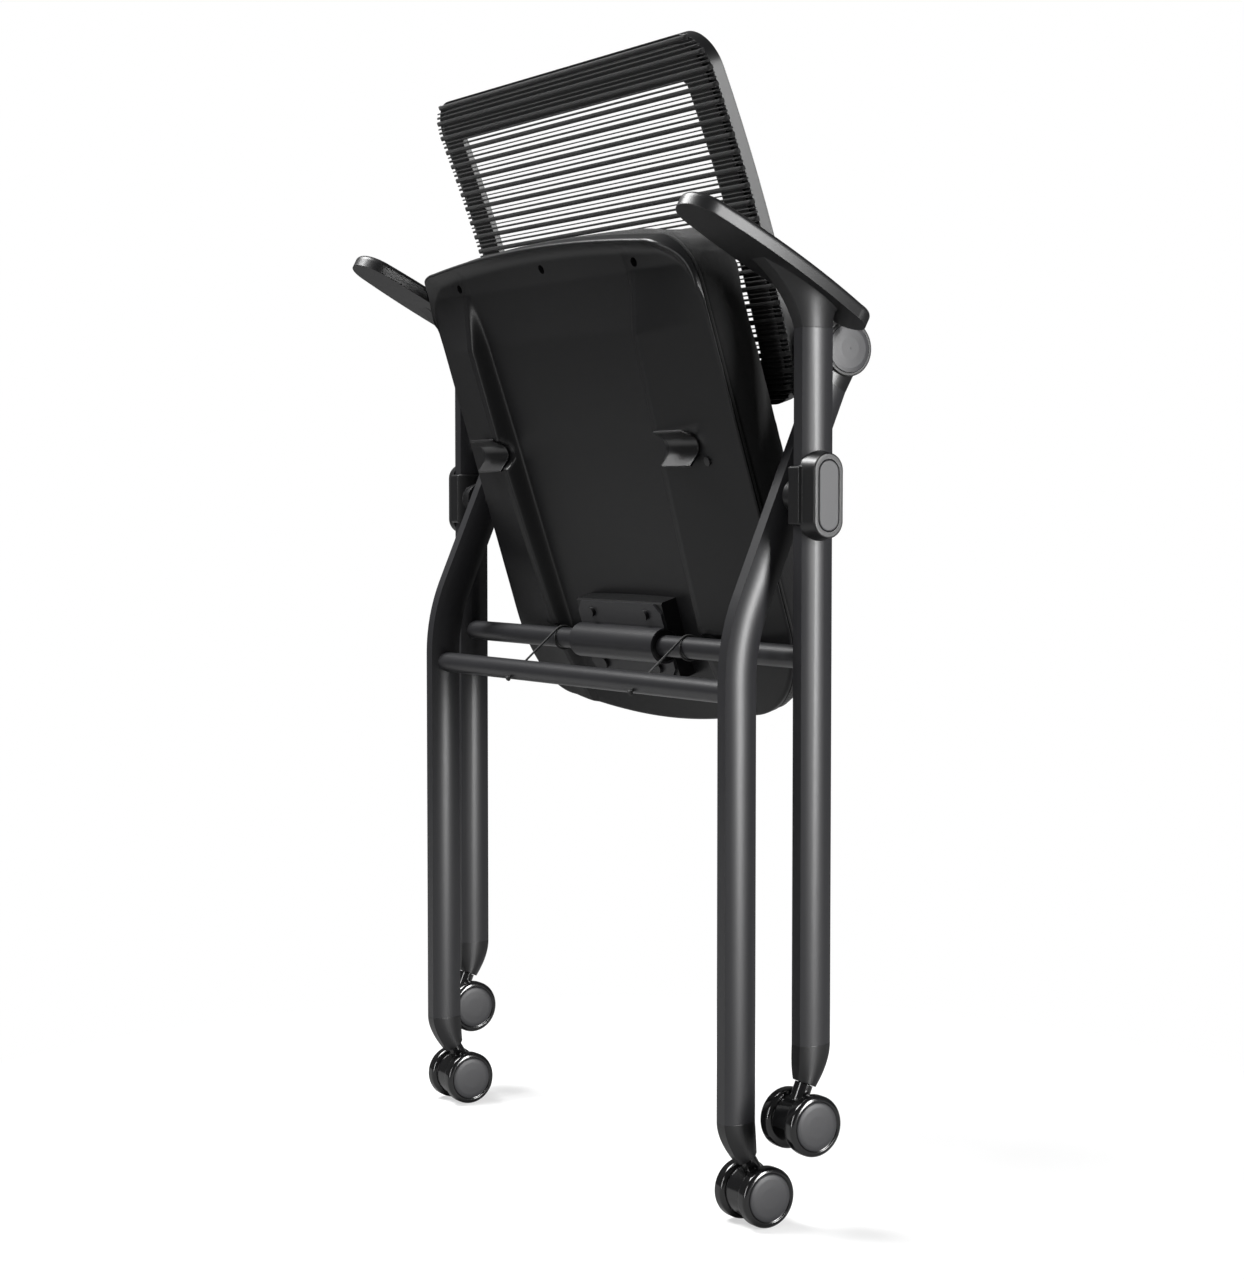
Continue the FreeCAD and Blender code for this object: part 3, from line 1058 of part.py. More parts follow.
# Casters: twin wheels on an axle through a hood, whose stem turns in the foot sleeve
def caster(end, name, side):
    front = end == "front"
    label = "caster_%s_%s_" % (end, name)
    x = signed(side, "Dims.%s_leg_x" % end)
    ahead = " - Dims.front_leg_ahead + Dims.front_foot_shift" if front else " - Dims.rear_foot_shift"
    y = "Dims.tube_plane_y" + ahead
    z = "Dims.pivot_height - Dims.%s_leg_below - Dims.%s_foot_drop" % (end, end)
    tilt, way = "Dims.%s_stem_tilt" % end, 1 if front else -1
    trail = -D["caster_trail"] if front else D["caster_trail"]
    drop = D["wheel_drop"]
    socket_end = 10.0

    def piece(what):
        return body_at(label + what, x, y, z, tilt, way)

    stem = piece("stem")
    rod = sketch(stem, "Circle", circle(0, 0, D["stem_dia"]), base=(0, 0, -socket_end))
    bind(rod, "Radius", 0, "Dims.stem_dia / 2")
    rod_pad = feature(stem, "Pad", "Rod", rod, "Dims.stem_length + %s" % socket_end)
    fillet(stem, "TopEdge", rod_pad, lambda p, e: p.z > D["stem_length"] - 0.01, "1.5")

    hood = piece("hood")
    disc = sketch(hood, "DrumCircle", circle(trail, -drop, D["hood_dia"]), "YZ_Plane")
    feature(hood, "Pad", "Drum", disc, "Dims.hood_width", both=True)
    neck = sketch(hood, "NeckCircle", circle(0, 0, D["neck_dia"]), base=(0, 0, -D["neck_gap"]))
    bind(neck, "Radius", 0, "Dims.neck_dia / 2")
    feature(hood, "Pad", "Neck", neck, "21", back=True)
    below = sketch(hood, "LowerHalf", slot_loop(trail - D["hood_dia"], trail + D["hood_dia"],
                                                -drop - D["hood_dia"], -drop - 11), "YZ_Plane")
    feature(hood, "Pocket", "OpenBelow", below, both=True)
    cavity = sketch(hood, "CavityPlan", slot_loop(-D["hood_width"] / 2 + 3, D["hood_width"] / 2 - 3,
                                                  trail - 15 if front else 10, -10 if front else trail + 15),
                    base=(0, 0, -drop - D["hood_dia"]))
    feature(hood, "Pocket", "Cavity", cavity, "Dims.hood_dia + 8", back=True)
    round_hole(hood, "StemBore", "XY_Plane", 0, 0, "Dims.stem_dia + 0.1", "%s + 0.2" % socket_end,
               base=(0, 0, 0), both=False)
    round_hole(hood, "AxleBore", "YZ_Plane", trail, -drop, "Dims.axle_dia + 0.1")

    axle = piece("axle")
    pin = sketch(axle, "Circle", circle(trail, -drop, D["axle_dia"]), "YZ_Plane")
    bind(pin, "Radius", 0, "Dims.axle_dia / 2")
    feature(axle, "Pad", "Pin", pin, "40", both=True)

    r = D["wheel_dia"] / 2
    near = D["hood_width"] / 2 + 0.3
    far = near + D["wheel_width"]
    bore = D["axle_dia"] / 2 + 0.05
    for what, way_out in (("outer_wheel", side), ("inner_wheel", -side)):
        wheel = piece(what)
        half = [(near, bore), (near, r - 3.5), (near + 1.2, r - 1.0), (near + 3, r), (far - 3, r),
                (far - 1, r - 0.9), (far, r - 2.6), (far, r - 6.6), (far - 1.2, r - 7.4),
                (far - 1.2, r - 8.2), (far - 0.2, r - 8.8), (far + 0.4, r * 0.4), (far + 0.6, 0),
                (20.6, 0), (20.6, bore)]
        profile = polygon([(way_out * a, b) for a, b in half])
        revolve(wheel, "Wheel", sketch(wheel, "Profile", profile, "XZ_Plane", base=(0, -drop, -trail)))


for name, side in SIDES:
    caster("front", name, side)
    caster("rear", name, side)

doc.recompute()

NODES = ["rear_cross_tube", "front_cross_tube", "pivot_bolts", "back_frame", "back_mesh", "back_pins",
         "seat_pan", "seat_board", "seat_cushion", "hinge_clamp", "hinge_bush", "hinge_screws",
         "seat_screws"]
for name, side in SIDES:
    for piece_name in ("rear_leg", "front_leg", "rear_foot", "front_foot", "pivot_housing", "pivot_cap",
                       "pivot_bush", "armrest", "return_cord", "back_hub", "hub_cap", "back_bush",
                       "saddle"):
        NODES.append(piece_name + "_" + name)
    for end in ("front", "rear"):
        for what in ("stem", "hood", "axle", "inner_wheel", "outer_wheel"):
            NODES.append("caster_%s_%s_%s" % (end, name, what))

for item in doc.Objects:
    if "Invalid" in item.State or "Error" in item.State:
        raise RuntimeError("feature failed: " + item.Name + " " + str(item.State))
os.makedirs("parts", exist_ok=True)
for node in NODES:
    shape = doc.getObjectsByLabel(node)[0].Shape
    if shape.isNull() or not shape.isValid() or not shape.Solids:
        raise RuntimeError("bad shape: " + node)
    shape.exportStep("parts/" + node + ".step")
    box = shape.BoundBox
    print(node, len(shape.Solids), round(shape.Volume),
          [round(v, 1) for v in (box.XMin, box.XMax, box.YMin, box.YMax, box.ZMin, box.ZMax)])
print(len(NODES), "nodes")
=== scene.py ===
import json
import math

import bmesh
import bpy
import numpy as np
from mathutils import Euler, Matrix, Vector

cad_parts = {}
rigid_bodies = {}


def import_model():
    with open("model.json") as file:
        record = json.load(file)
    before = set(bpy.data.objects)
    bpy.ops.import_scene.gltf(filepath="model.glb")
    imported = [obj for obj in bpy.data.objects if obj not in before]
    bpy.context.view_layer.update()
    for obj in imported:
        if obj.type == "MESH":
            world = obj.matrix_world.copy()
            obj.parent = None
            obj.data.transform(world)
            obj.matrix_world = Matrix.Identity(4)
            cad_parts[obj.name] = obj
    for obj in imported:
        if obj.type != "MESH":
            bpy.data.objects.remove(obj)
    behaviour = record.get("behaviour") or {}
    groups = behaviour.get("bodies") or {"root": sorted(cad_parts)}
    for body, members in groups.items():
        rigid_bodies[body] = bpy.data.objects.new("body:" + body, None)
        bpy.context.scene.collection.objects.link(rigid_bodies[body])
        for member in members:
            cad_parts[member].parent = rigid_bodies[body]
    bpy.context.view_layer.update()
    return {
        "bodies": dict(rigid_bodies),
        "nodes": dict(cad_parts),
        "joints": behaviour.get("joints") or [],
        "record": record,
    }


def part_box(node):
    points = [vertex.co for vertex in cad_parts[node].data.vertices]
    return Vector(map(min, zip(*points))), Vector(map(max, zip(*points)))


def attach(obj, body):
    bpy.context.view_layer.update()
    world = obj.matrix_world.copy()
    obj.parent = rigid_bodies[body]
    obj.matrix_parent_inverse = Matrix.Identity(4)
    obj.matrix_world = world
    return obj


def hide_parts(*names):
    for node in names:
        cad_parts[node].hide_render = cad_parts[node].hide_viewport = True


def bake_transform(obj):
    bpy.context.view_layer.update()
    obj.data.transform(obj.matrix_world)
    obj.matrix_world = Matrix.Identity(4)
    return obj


# Nesting chair, folded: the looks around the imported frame. Metres, +Z up, the front is -Y.
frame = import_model()

MM = 0.001


def middle_of(node):
    """The centre of a node's box, on the chair's middle plane."""
    low, high = np.array(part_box(node))
    return np.array([0.0, *(low + high)[1:] / 2])


# The seat hinges on the rear cross tube and the back on its two pins
SEAT_ORIGIN, BACK_ORIGIN = middle_of("rear_cross_tube"), middle_of("back_pins")
SEAT_LEAN, BACK_LEAN = math.radians(17.5), math.radians(18.7)


# Geometry helpers: every built surface is closed and comes from numpy arrays of points and faces


def leaned(points, lean, origin):
    """Turns points about X by lean and moves them to origin: y' = y cos - z sin, z' = y sin + z cos."""
    x, y, z = points[..., 0], points[..., 1], points[..., 2]
    turned = np.stack([x, y * math.cos(lean) - z * math.sin(lean),
                       y * math.sin(lean) + z * math.cos(lean)], axis=-1)
    return turned + origin


def grid_faces(rows, columns, wrap_rows=False, wrap_columns=False):
    """Quads between neighbours of a rows by columns grid, closed round where a direction wraps."""
    r = np.arange(rows if wrap_rows else rows - 1)
    c = np.arange(columns if wrap_columns else columns - 1)
    r, c = np.meshgrid(r, c, indexing="ij")
    r2, c2 = (r + 1) % rows, (c + 1) % columns
    corners = [r * columns + c, r * columns + c2, r2 * columns + c2, r2 * columns + c]
    return np.stack(corners, -1).reshape(-1, 4)


def evenly(points, count):
    """Resamples a closed outline at count places that are the same distance apart along it."""
    lengths = np.concatenate([[0], np.cumsum(np.linalg.norm(np.diff(points, axis=0), axis=1))])
    where = np.linspace(0, lengths[-1], count, endpoint=False)
    return np.stack([np.interp(where, lengths, points[:, k]) for k in (0, 1)], -1)


def units(vectors, axis):
    """The vectors brought to length one along an axis."""
    return vectors / np.linalg.norm(vectors, axis=axis, keepdims=True)


def surface(name, points, faces, material, smooth=True, turn_outward=True):
    """A mesh object at the origin from an array of points and the point numbers of each face."""
    mesh = bpy.data.meshes.new(name)
    mesh.from_pydata(points.reshape(-1, 3).tolist(), [], [[int(k) for k in face] for face in faces])
    if turn_outward:
        shell = bmesh.new()
        shell.from_mesh(mesh)
        bmesh.ops.recalc_face_normals(shell, faces=shell.faces)
        shell.to_mesh(mesh)
        shell.free()
    mesh.polygons.foreach_set("use_smooth", np.full(len(faces), smooth))
    mesh.materials.append(material)
    mesh.update()
    item = bpy.data.objects.new(name, mesh)
    bpy.context.collection.objects.link(item)
    return item


def tube(name, path, across, up, material, sides=10, closed=False):
    """An elliptical tube carried along paths.

    path is (strands, steps, 3) and across and up are half-axis vectors of the same shape: each point
    is path + across cos a + up sin a for sides angles a. Open strands get a flat face at each end.
    """
    angle = np.linspace(0, 2 * np.pi, sides, endpoint=False)
    ring = (path[:, :, None] + across[:, :, None] * np.cos(angle)[:, None]
            + up[:, :, None] * np.sin(angle)[:, None])
    strands, steps = path.shape[:2]
    one = grid_faces(steps, sides, closed, True)
    faces = (one[None] + (np.arange(strands) * steps * sides)[:, None, None]).reshape(-1, 4)
    walls = faces.tolist()
    if not closed:
        for first in range(0, strands * steps * sides, steps * sides):
            last = first + (steps - 1) * sides
            walls += [list(range(first, first + sides)), list(range(last + sides - 1, last - 1, -1))]
    return surface(name, ring, walls, material)


def turned(name, profile, centre, axis_sign, material, steps=72):
    """A solid of revolution about X: profile is (along, radius) pairs, swept through a full circle."""
    profile = np.array(profile)
    angle = np.linspace(0, 2 * np.pi, steps, endpoint=False)
    x = np.broadcast_to(axis_sign * profile[:, 0], (steps, len(profile)))
    y = np.cos(angle)[:, None] * profile[:, 1]
    z = np.sin(angle)[:, None] * profile[:, 1]
    points = np.stack([x, y, z], -1) + np.asarray(centre)
    faces = grid_faces(steps, len(profile), True, False)
    return surface(name, points, faces, material)


def rounded(profile, radius, steps=4):
    """Replaces each inner corner of a polyline by a quadratic curve that starts radius before it."""
    profile = np.array(profile, float)
    t = np.linspace(0, 1, steps + 1)[:, None]
    out = [profile[:1]]
    for before, corner, after in zip(profile, profile[1:], profile[2:]):
        a = corner + (before - corner) * min(0.45, radius / max(np.linalg.norm(before - corner), 1e-9))
        b = corner + (after - corner) * min(0.45, radius / max(np.linalg.norm(after - corner), 1e-9))
        out.append((1 - t) ** 2 * a + 2 * t * (1 - t) * corner + t ** 2 * b)
    out.append(profile[-1:])
    return np.concatenate(out)


# Materials: near-black plastics and coats that differ in grain, gloss and depth


def linear(hex_colour):
    """An sRGB hex value as linear red, green, blue and alpha."""
    srgb = np.array([int(hex_colour[i:i + 2], 16) for i in (1, 3, 5)]) / 255
    low = srgb / 12.92
    high = ((srgb + 0.055) / 1.055) ** 2.4
    return (*np.where(srgb <= 0.04045, low, high).tolist(), 1.0)


def add(tree, kind, settings=None, links=None):
    """One shader node with its input values and the sockets that feed it."""
    item = tree.nodes.new(kind)
    for key, value in (settings or {}).items():
        if isinstance(key, str) and hasattr(item, key):
            setattr(item, key, value)
        else:
            item.inputs[key].default_value = value
    for key, socket in (links or {}).items():
        tree.links.new(socket, item.inputs[key])
    return item


def base_material(name):
    """A new material with an empty tree and the object's own coordinates."""
    material = bpy.data.materials.new(name)
    material.use_nodes = True
    tree = material.node_tree
    tree.nodes.clear()
    coords = add(tree, "ShaderNodeTexCoord").outputs["Object"]
    return material, tree, coords


def finish_material(tree, settings, links):
    """Ends a tree with the principled shader."""
    shader = add(tree, "ShaderNodeBsdfPrincipled", settings, links)
    add(tree, "ShaderNodeOutputMaterial", links={"Surface": shader.outputs[0]})


def grained(name, dark, light, roughness, grain_mm, bump_mm, edge_mm=0.0, specular=0.5):
    """A moulded or coated surface: fine grain, slow tone drift, softened edges where edge_mm is set."""
    material, tree, coords = base_material(name)
    grain = add(tree, "ShaderNodeTexNoise", {"Scale": 1 / (grain_mm * MM), "Detail": 2.0},
                {"Vector": coords})
    drift = add(tree, "ShaderNodeTexNoise", {"Scale": 9.0, "Detail": 3.0}, {"Vector": coords})
    colour = add(tree, "ShaderNodeMix", {"data_type": "RGBA"}, {0: drift.outputs["Fac"]})
    colour.inputs[6].default_value = linear(dark)
    colour.inputs[7].default_value = linear(light)
    rough = add(tree, "ShaderNodeMapRange", {"To Min": roughness - 0.04, "To Max": roughness + 0.05},
                {"Value": grain.outputs["Fac"]})
    bump = add(tree, "ShaderNodeBump", {"Strength": 0.35, "Distance": bump_mm * MM},
               {"Height": grain.outputs["Fac"]})
    if edge_mm:
        soft = add(tree, "ShaderNodeBevel", {"samples": 6, "Radius": edge_mm * MM})
        tree.links.new(soft.outputs[0], bump.inputs["Normal"])
    finish_material(tree, {"IOR": 1.5, "Specular IOR Level": specular},
                    {"Base Color": colour.outputs[2], "Roughness": rough.outputs["Result"],
                     "Normal": bump.outputs[0]})
    return material


# One full wave of the wave texture is this long at a scale of one, and a thread is half a wave
WAVE_LENGTH, WAVES_PER_THREAD = 0.159, 2
FUZZ_SCALE = 900.0


def woven(name, dark, light, thread_mm, roughness=0.85):
    """Plain-woven polyester: two crossed wave patterns, one thread apart, lift and tint the threads."""
    material, tree, coords = base_material(name)
    spin = add(tree, "ShaderNodeMapping", {"Rotation": (0.0, SEAT_LEAN, math.pi / 4)}, {"Vector": coords})
    waves = []
    for direction in ("X", "Z"):
        scale = WAVE_LENGTH / (thread_mm * MM) * WAVES_PER_THREAD
        wave = add(tree, "ShaderNodeTexWave",
                   {"Scale": scale, "Distortion": 0.6, "Detail": 1.0, "Detail Scale": 2.0},
                   {"Vector": spin.outputs[0]})
        wave.bands_direction = direction
        waves.append(wave.outputs["Fac"])
    cross = add(tree, "ShaderNodeMath", {"operation": "MAXIMUM"}, {0: waves[0], 1: waves[1]})
    fuzz = add(tree, "ShaderNodeTexNoise", {"Scale": FUZZ_SCALE, "Detail": 3.0}, {"Vector": coords})
    blend = add(tree, "ShaderNodeMath", {"operation": "MULTIPLY"},
                {0: cross.outputs[0], 1: fuzz.outputs["Fac"]})
    colour = add(tree, "ShaderNodeMix", {"data_type": "RGBA"}, {0: blend.outputs[0]})
    colour.inputs[6].default_value = linear(dark)
    colour.inputs[7].default_value = linear(light)
    bump = add(tree, "ShaderNodeBump", {"Strength": 0.6, "Distance": 0.4 * MM},
               {"Height": cross.outputs[0]})
    finish_material(tree, {"Roughness": roughness, "Sheen Weight": 0.12, "Sheen Roughness": 0.4,
                           "Specular IOR Level": 0.3},
                    {"Base Color": colour.outputs[2], "Normal": bump.outputs[0]})
    return material


# Powder coat baked on steel: satin, near-black grey, with the faintest orange peel
powder_coat = grained("powder_coated_steel", "#1c1c1e", "#222224", 0.36, 1.6, 0.03)
# Glass-filled polypropylene, mould-textured: dull black with soft broad highlights
pan_plastic = grained("textured_polypropylene", "#0f0f10", "#131314", 0.36, 0.8, 0.03, 0.0, 0.3)
# Nylon fittings: a little darker and smoother than the tube they sit on
nylon = grained("moulded_nylon", "#0e0e0f", "#131314", 0.33, 0.7, 0.03, 0.8)
# Arm pads: self-skinned polyurethane over a nylon neck, even satin
arm_skin = grained("satin_arm_plastic", "#101011", "#151516", 0.38, 0.9, 0.01, 1.2)
# Caps and wheel discs: spark-eroded mould finish, flat dark grey
cap_abs = grained("spark_textured_abs", "#2a2a2c", "#313133", 0.45, 0.5, 0.04, 0.5)
# Wheel rims: polished black nylon that catches hard window-like lights
gloss_nylon = grained("polished_black_nylon", "#0c0c0d", "#101011", 0.14, 6.0, 0.01, 0.6, 0.7)
# Rubber bushes and elastic cords: dull, dark
rubber = grained("bush_rubber", "#1a1a1a", "#222222", 0.72, 0.6, 0.06)
# Zinc-plated steel for the back pins: the only bright metal, and hidden in the hubs
zinc, zinc_tree, zinc_coords = base_material("zinc_plated_steel")
zinc_noise = add(zinc_tree, "ShaderNodeTexNoise", {"Scale": 700.0}, {"Vector": zinc_coords})
zinc_rough = add(zinc_tree, "ShaderNodeMapRange", {"To Min": 0.28, "To Max": 0.42},
                 {"Value": zinc_noise.outputs["Fac"]})
finish_material(zinc_tree, {"Base Color": linear("#8f9092"), "Metallic": 1.0},
                {"Roughness": zinc_rough.outputs["Result"]})
# Black-oxide socket screws show almost black in their recesses
black_steel = grained("black_oxide_steel", "#141415", "#1c1c1d", 0.34, 1.0, 0.02)
# The seat's cover is a dull plain weave of 0.9 mm threads, and the back's strands a knit of 1.1 mm
seat_cloth = woven("woven_polyester", "#050505", "#19191a", 0.9)
knit = woven("warp_knit_polyester", "#060606", "#111112", 1.1, 0.7)

# Starts of node names and what those nodes are made of, and moulded nylon for all others
MATERIAL_OF = (
    (("rear_leg", "front_leg", "rear_cross", "front_cross", "hinge_clamp"), powder_coat),
    (("seat_pan",), pan_plastic),
    (("armrest",), arm_skin),
    (("pivot_cap", "hub_cap"), cap_abs),
    (("pivot_bush", "back_bush", "return_cord"), rubber),
    (("pivot_bolts", "hinge_screws", "seat_screws"), black_steel),
    (("back_pins",), zinc),
    (("seat_board", "seat_cushion"), seat_cloth),
    (("back_mesh",), knit),
)
for node_name, node_object in frame["nodes"].items():
    chosen = nylon
    for starts, material in MATERIAL_OF:
        if node_name.startswith(starts):
            chosen = material
    if node_name.endswith(("_axle", "_stem")):
        chosen = black_steel
    if node_name.endswith("_hood"):
        chosen = gloss_nylon
    for material_slot in node_object.material_slots:
        material_slot.material = chosen

# Wheels: each is a glossy tyre and rim round a matte domed disc, as (along the axle, radius) outlines
RIM = rounded([(9.9, 3.3), (9.9, 20.5), (11.0, 23.6), (13.0, 25.0), (20.8, 25.0), (22.8, 23.6),
               (23.5, 20.6), (22.6, 20.0), (22.5, 3.3)], 1.2)
DISC = rounded([(22.4, 19.7), (23.4, 19.2), (24.1, 16.0), (24.5, 9.0), (24.6, 0.02)], 1.0)
for end in ("front", "rear"):
    for name, side in (("right", 1), ("left", -1)):
        label = f"caster_{end}_{name}"
        low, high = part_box(label + "_axle")
        middle = [(a + b) / 2 for a, b in zip(low, high)]
        for what, outward in (("outer_wheel", side), ("inner_wheel", -side)):
            body = label + "_" + what
            rim = turned(body + "_tyre", RIM * MM, middle, outward, gloss_nylon)
            disc = turned(body + "_disc", DISC * MM, middle, outward, cap_abs)
            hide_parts(body)
            for piece in (rim, disc):
                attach(piece, body)

# Backrest mesh, in the back's own millimetres: its size, the bow's radius and vertex, and a corner
BACK_HALF, BACK_TOP, BACK_BOTTOM = 233.0, 280.0, 34.0
BACK_R, BACK_VERTEX, BACK_CORNER = 1500.0, -30.5, 34.0
BACK_MIDDLE, BACK_REACH = (BACK_TOP - BACK_BOTTOM) / 2, (BACK_TOP + BACK_BOTTOM) / 2


def on_back(x, height, out):
    """A point of the bowed back: the angle height / R round a centre in front, out millimetres proud."""
    angle = height / BACK_R
    y = BACK_VERTEX - BACK_R + (BACK_R - out) * np.cos(angle)
    z = BACK_MIDDLE + (BACK_R - out) * np.sin(angle)
    return leaned(np.stack(np.broadcast_arrays(x, y, z), -1) * MM, BACK_LEAN, BACK_ORIGIN)


def back_half_width(height):
    """Half the back's width at a height: full, less the quarter circle of a round corner."""
    past = np.clip(np.abs(height) - (BACK_REACH - BACK_CORNER), 0, BACK_CORNER)
    return BACK_HALF - (BACK_CORNER - np.sqrt(BACK_CORNER ** 2 - past ** 2))


RIB_OUT, RIB_WRAP, RIB_TAIL, RIB_PROUD = 1.5, 2.4, 1.2, 0.8


def ribs(name, start, pitch, tall, thick):
    """Strands across the back that wrap round both side edges of the rim.

    Along each strand a parameter runs from -1 to 1. Its middle part is the straight run across the
    front, and past the edge the strand follows a quarter circle of 2.4 mm and stops on the rim's side.
    """
    heights = np.arange(start, BACK_REACH - RIB_OUT, pitch)
    heights = heights[heights > -BACK_REACH + RIB_OUT]
    t = np.linspace(-1, 1, 23)
    arc = np.linspace(0, 1, 7)[1:] * np.pi / 2
    flat = back_half_width(heights)[:, None] - RIB_WRAP
    run_x = flat * t
    run_out = np.full_like(run_x, RIB_OUT)
    edge_x = flat + RIB_WRAP * np.sin(arc) + RIB_PROUD
    edge_out = RIB_OUT - RIB_WRAP * (1 - np.cos(arc)) + np.zeros_like(edge_x)
    back_x = flat + RIB_WRAP + RIB_PROUD
    back_out = np.full_like(back_x, RIB_OUT - RIB_WRAP - RIB_TAIL)
    x = np.concatenate([-back_x, -edge_x[:, ::-1], run_x, edge_x, back_x], 1)
    out = np.concatenate([back_out, edge_out[:, ::-1], run_out, edge_out, back_out], 1)
    path = on_back(x, heights[:, None] + np.zeros_like(x), out)
    along = units(np.gradient(path, axis=1), 2)
    above = units(on_back(x, heights[:, None] + 1.0, out) - path, 2)
    across = np.cross(along, above)
    return tube(name, path, across * thick / 2 * MM, above * tall / 2 * MM, knit, 8)


def loop_of_back(inset, corner, count):
    """Evenly spaced points round a rounded rectangle in the back's own x and height."""
    half, reach = BACK_HALF - inset, BACK_REACH - inset
    a = np.linspace(0, np.pi / 2, 9)
    corners = [(half - corner, reach - corner, 0), (-half + corner, reach - corner, 1),
               (-half + corner, -reach + corner, 2), (half - corner, -reach + corner, 3)]
    points = np.concatenate([np.stack([cx + corner * np.cos(a + q * np.pi / 2),
                                       cy + corner * np.sin(a + q * np.pi / 2)], -1)
                             for cx, cy, q in corners])
    return evenly(np.concatenate([points, points[:1]]), count)


# Seen downwards: a thick rib, a thin one and a middle one, with 2.2 mm of air after each
RIB_PERIOD, THICK, THIN, MIDDLE = 14.1, 4.3, 1.2, 2.0
RIB_AIR = (RIB_PERIOD - THICK - THIN - MIDDLE) / 3
first = -BACK_REACH - RIB_PERIOD
below_thick = THICK / 2 + RIB_AIR
rib_pieces = [
    ribs("back_thick_ribs", first, RIB_PERIOD, THICK, 1.3),
    ribs("back_thin_ribs", first - below_thick - THIN / 2, RIB_PERIOD, THIN, 1.1),
    ribs("back_middle_ribs", first - below_thick - THIN - RIB_AIR - MIDDLE / 2, RIB_PERIOD, MIDDLE, 1.2),
]
# The knit is closed over the rim: a band of cloth behind the ribs, as wide as the solid border
BAND_STEPS, BAND_ROUND, BAND_OUT, BAND_THICK = 9, 240, 0.6, 0.5
outer_loop, inner_loop = loop_of_back(7.0, 30.0, BAND_ROUND), loop_of_back(38.0, 3.0, BAND_ROUND)
mix = np.linspace(0, 1, BAND_STEPS)[:, None, None]
band_xy = outer_loop * (1 - mix) + inner_loop * mix
band = surface("back_border_cloth", on_back(band_xy[..., 0], band_xy[..., 1], BAND_OUT),
               grid_faces(BAND_STEPS, BAND_ROUND, False, True), knit)
solid = band.modifiers.new("Thickness", "SOLIDIFY")
solid.thickness = BAND_THICK * MM
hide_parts("back_mesh")
for piece in (*rib_pieces, band):
    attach(piece, "backrest")

# Seat, in its own millimetres: x across, w away from the underside and u toward the front edge
SEAT_HALF, SEAT_FRONT, SEAT_REAR, SEAT_ARCH = 231.0, 363.0, 80.0, 9.0
FRONT_CORNER, REAR_CORNER = 46.0, 82.0


def arc_through(a, b, c, count):
    """Points of the circle through a, b and c, from a to c: centre from the two equal distances."""
    a, b, c = (np.array(p, float) for p in (a, b, c))
    m = 2 * np.array([b - a, c - a])
    centre = np.linalg.solve(m, [b @ b - a @ a, c @ c - a @ a])
    start, mid, end = (math.atan2(*(p - centre)[::-1]) for p in (a, b, c))
    turn = (end - start) % (2 * math.pi)
    if (mid - start) % (2 * math.pi) > turn:
        turn -= 2 * math.pi
    angle = start + turn * np.linspace(0, 1, count)
    return centre + np.linalg.norm(a - centre) * np.stack([np.cos(angle), np.sin(angle)], -1)


def seat_loop(inset, count):
    """The seat's plan, inset all round: straight sides, arched front, round corners, evenly resampled."""
    half, fr, rr = SEAT_HALF - inset, FRONT_CORNER - inset, REAR_CORNER - inset
    front, rear = SEAT_FRONT - SEAT_ARCH - inset, -SEAT_REAR + SEAT_ARCH * 1.5 + inset
    near = 1 - math.sqrt(0.5)
    parts = [np.linspace((half, rear + rr), (half, front - fr), 12),
             arc_through((half, front - fr), (half - fr * near, front - fr * near), (half - fr, front), 12),
             arc_through((half - fr, front), (0, SEAT_FRONT - inset), (-half + fr, front), 24),
             arc_through((-half + fr, front), (-half + fr * near, front - fr * near), (-half, front - fr), 12),
             np.linspace((-half, front - fr), (-half, rear + rr), 12),
             arc_through((-half, rear + rr), (-half + rr * near, rear + rr * near), (-half + rr, rear), 16),
             arc_through((-half + rr, rear), (0, -SEAT_REAR + inset), (half - rr, rear), 20),
             arc_through((half - rr, rear), (half - rr * near, rear + rr * near), (half, rear + rr), 16)]
    return evenly(np.concatenate(parts), count)


def on_seat(x, w, u):
    """A point of the seat's own frame as it stands in the folded chair."""
    return leaned(np.stack(np.broadcast_arrays(x, w, u), -1) * MM, SEAT_LEAN, SEAT_ORIGIN)


# The pan's underside at stations up the seat: rim, ridge crest, ridge place, ridge foot and middle
PAN_STATIONS = np.array([
    (-84.0, 21.0, 20.0, 122.0, 20.3, 20.5),
    (-42.0, 23.0, 12.0, 125.0, 18.0, 22.0),
    (0.0, 23.0, 4.0, 128.0, 17.0, 23.0),
    (90.0, 23.0, 3.0, 135.0, 18.0, 24.0),
    (183.0, 23.0, 3.0, 142.0, 20.0, 24.0),
    (280.0, 23.0, 5.0, 147.0, 20.0, 23.0),
    (330.0, 22.0, 17.0, 150.0, 18.5, 20.0),
    (368.0, 16.0, 15.0, 150.0, 15.0, 15.0)])
# The ridge's half width and the foot's distance from its place
RIDGE_HALF, RIDGE_FOOT = 4.0, 13.0
# Heights of the rim and of the raised middle that carries the board, and how far in its step lies
RIM_TOP, PAN_STEP, PAN_TOP = 25.0, 16.0, 44.9
# The front lip's height in the middle and at the sides, its run and the radius of the edge's bead
LIP_EDGE, LIP_SIDE, LIP_FROM, LIP_RUN, BEAD = 8.0, 20.0, 200.0, 13.0, 2.6
# The hinge block's half width, ends, face and trough radius, and the round of its edges
BLOCK_HALF, BLOCK_REAR, BLOCK_FRONT, BLOCK_ROOT = 73.0, -33.0, 38.0, 32.0
BLOCK_FACE, BLOCK_TROUGH, BLOCK_ROUND = 5.05, 13.83, 1.5
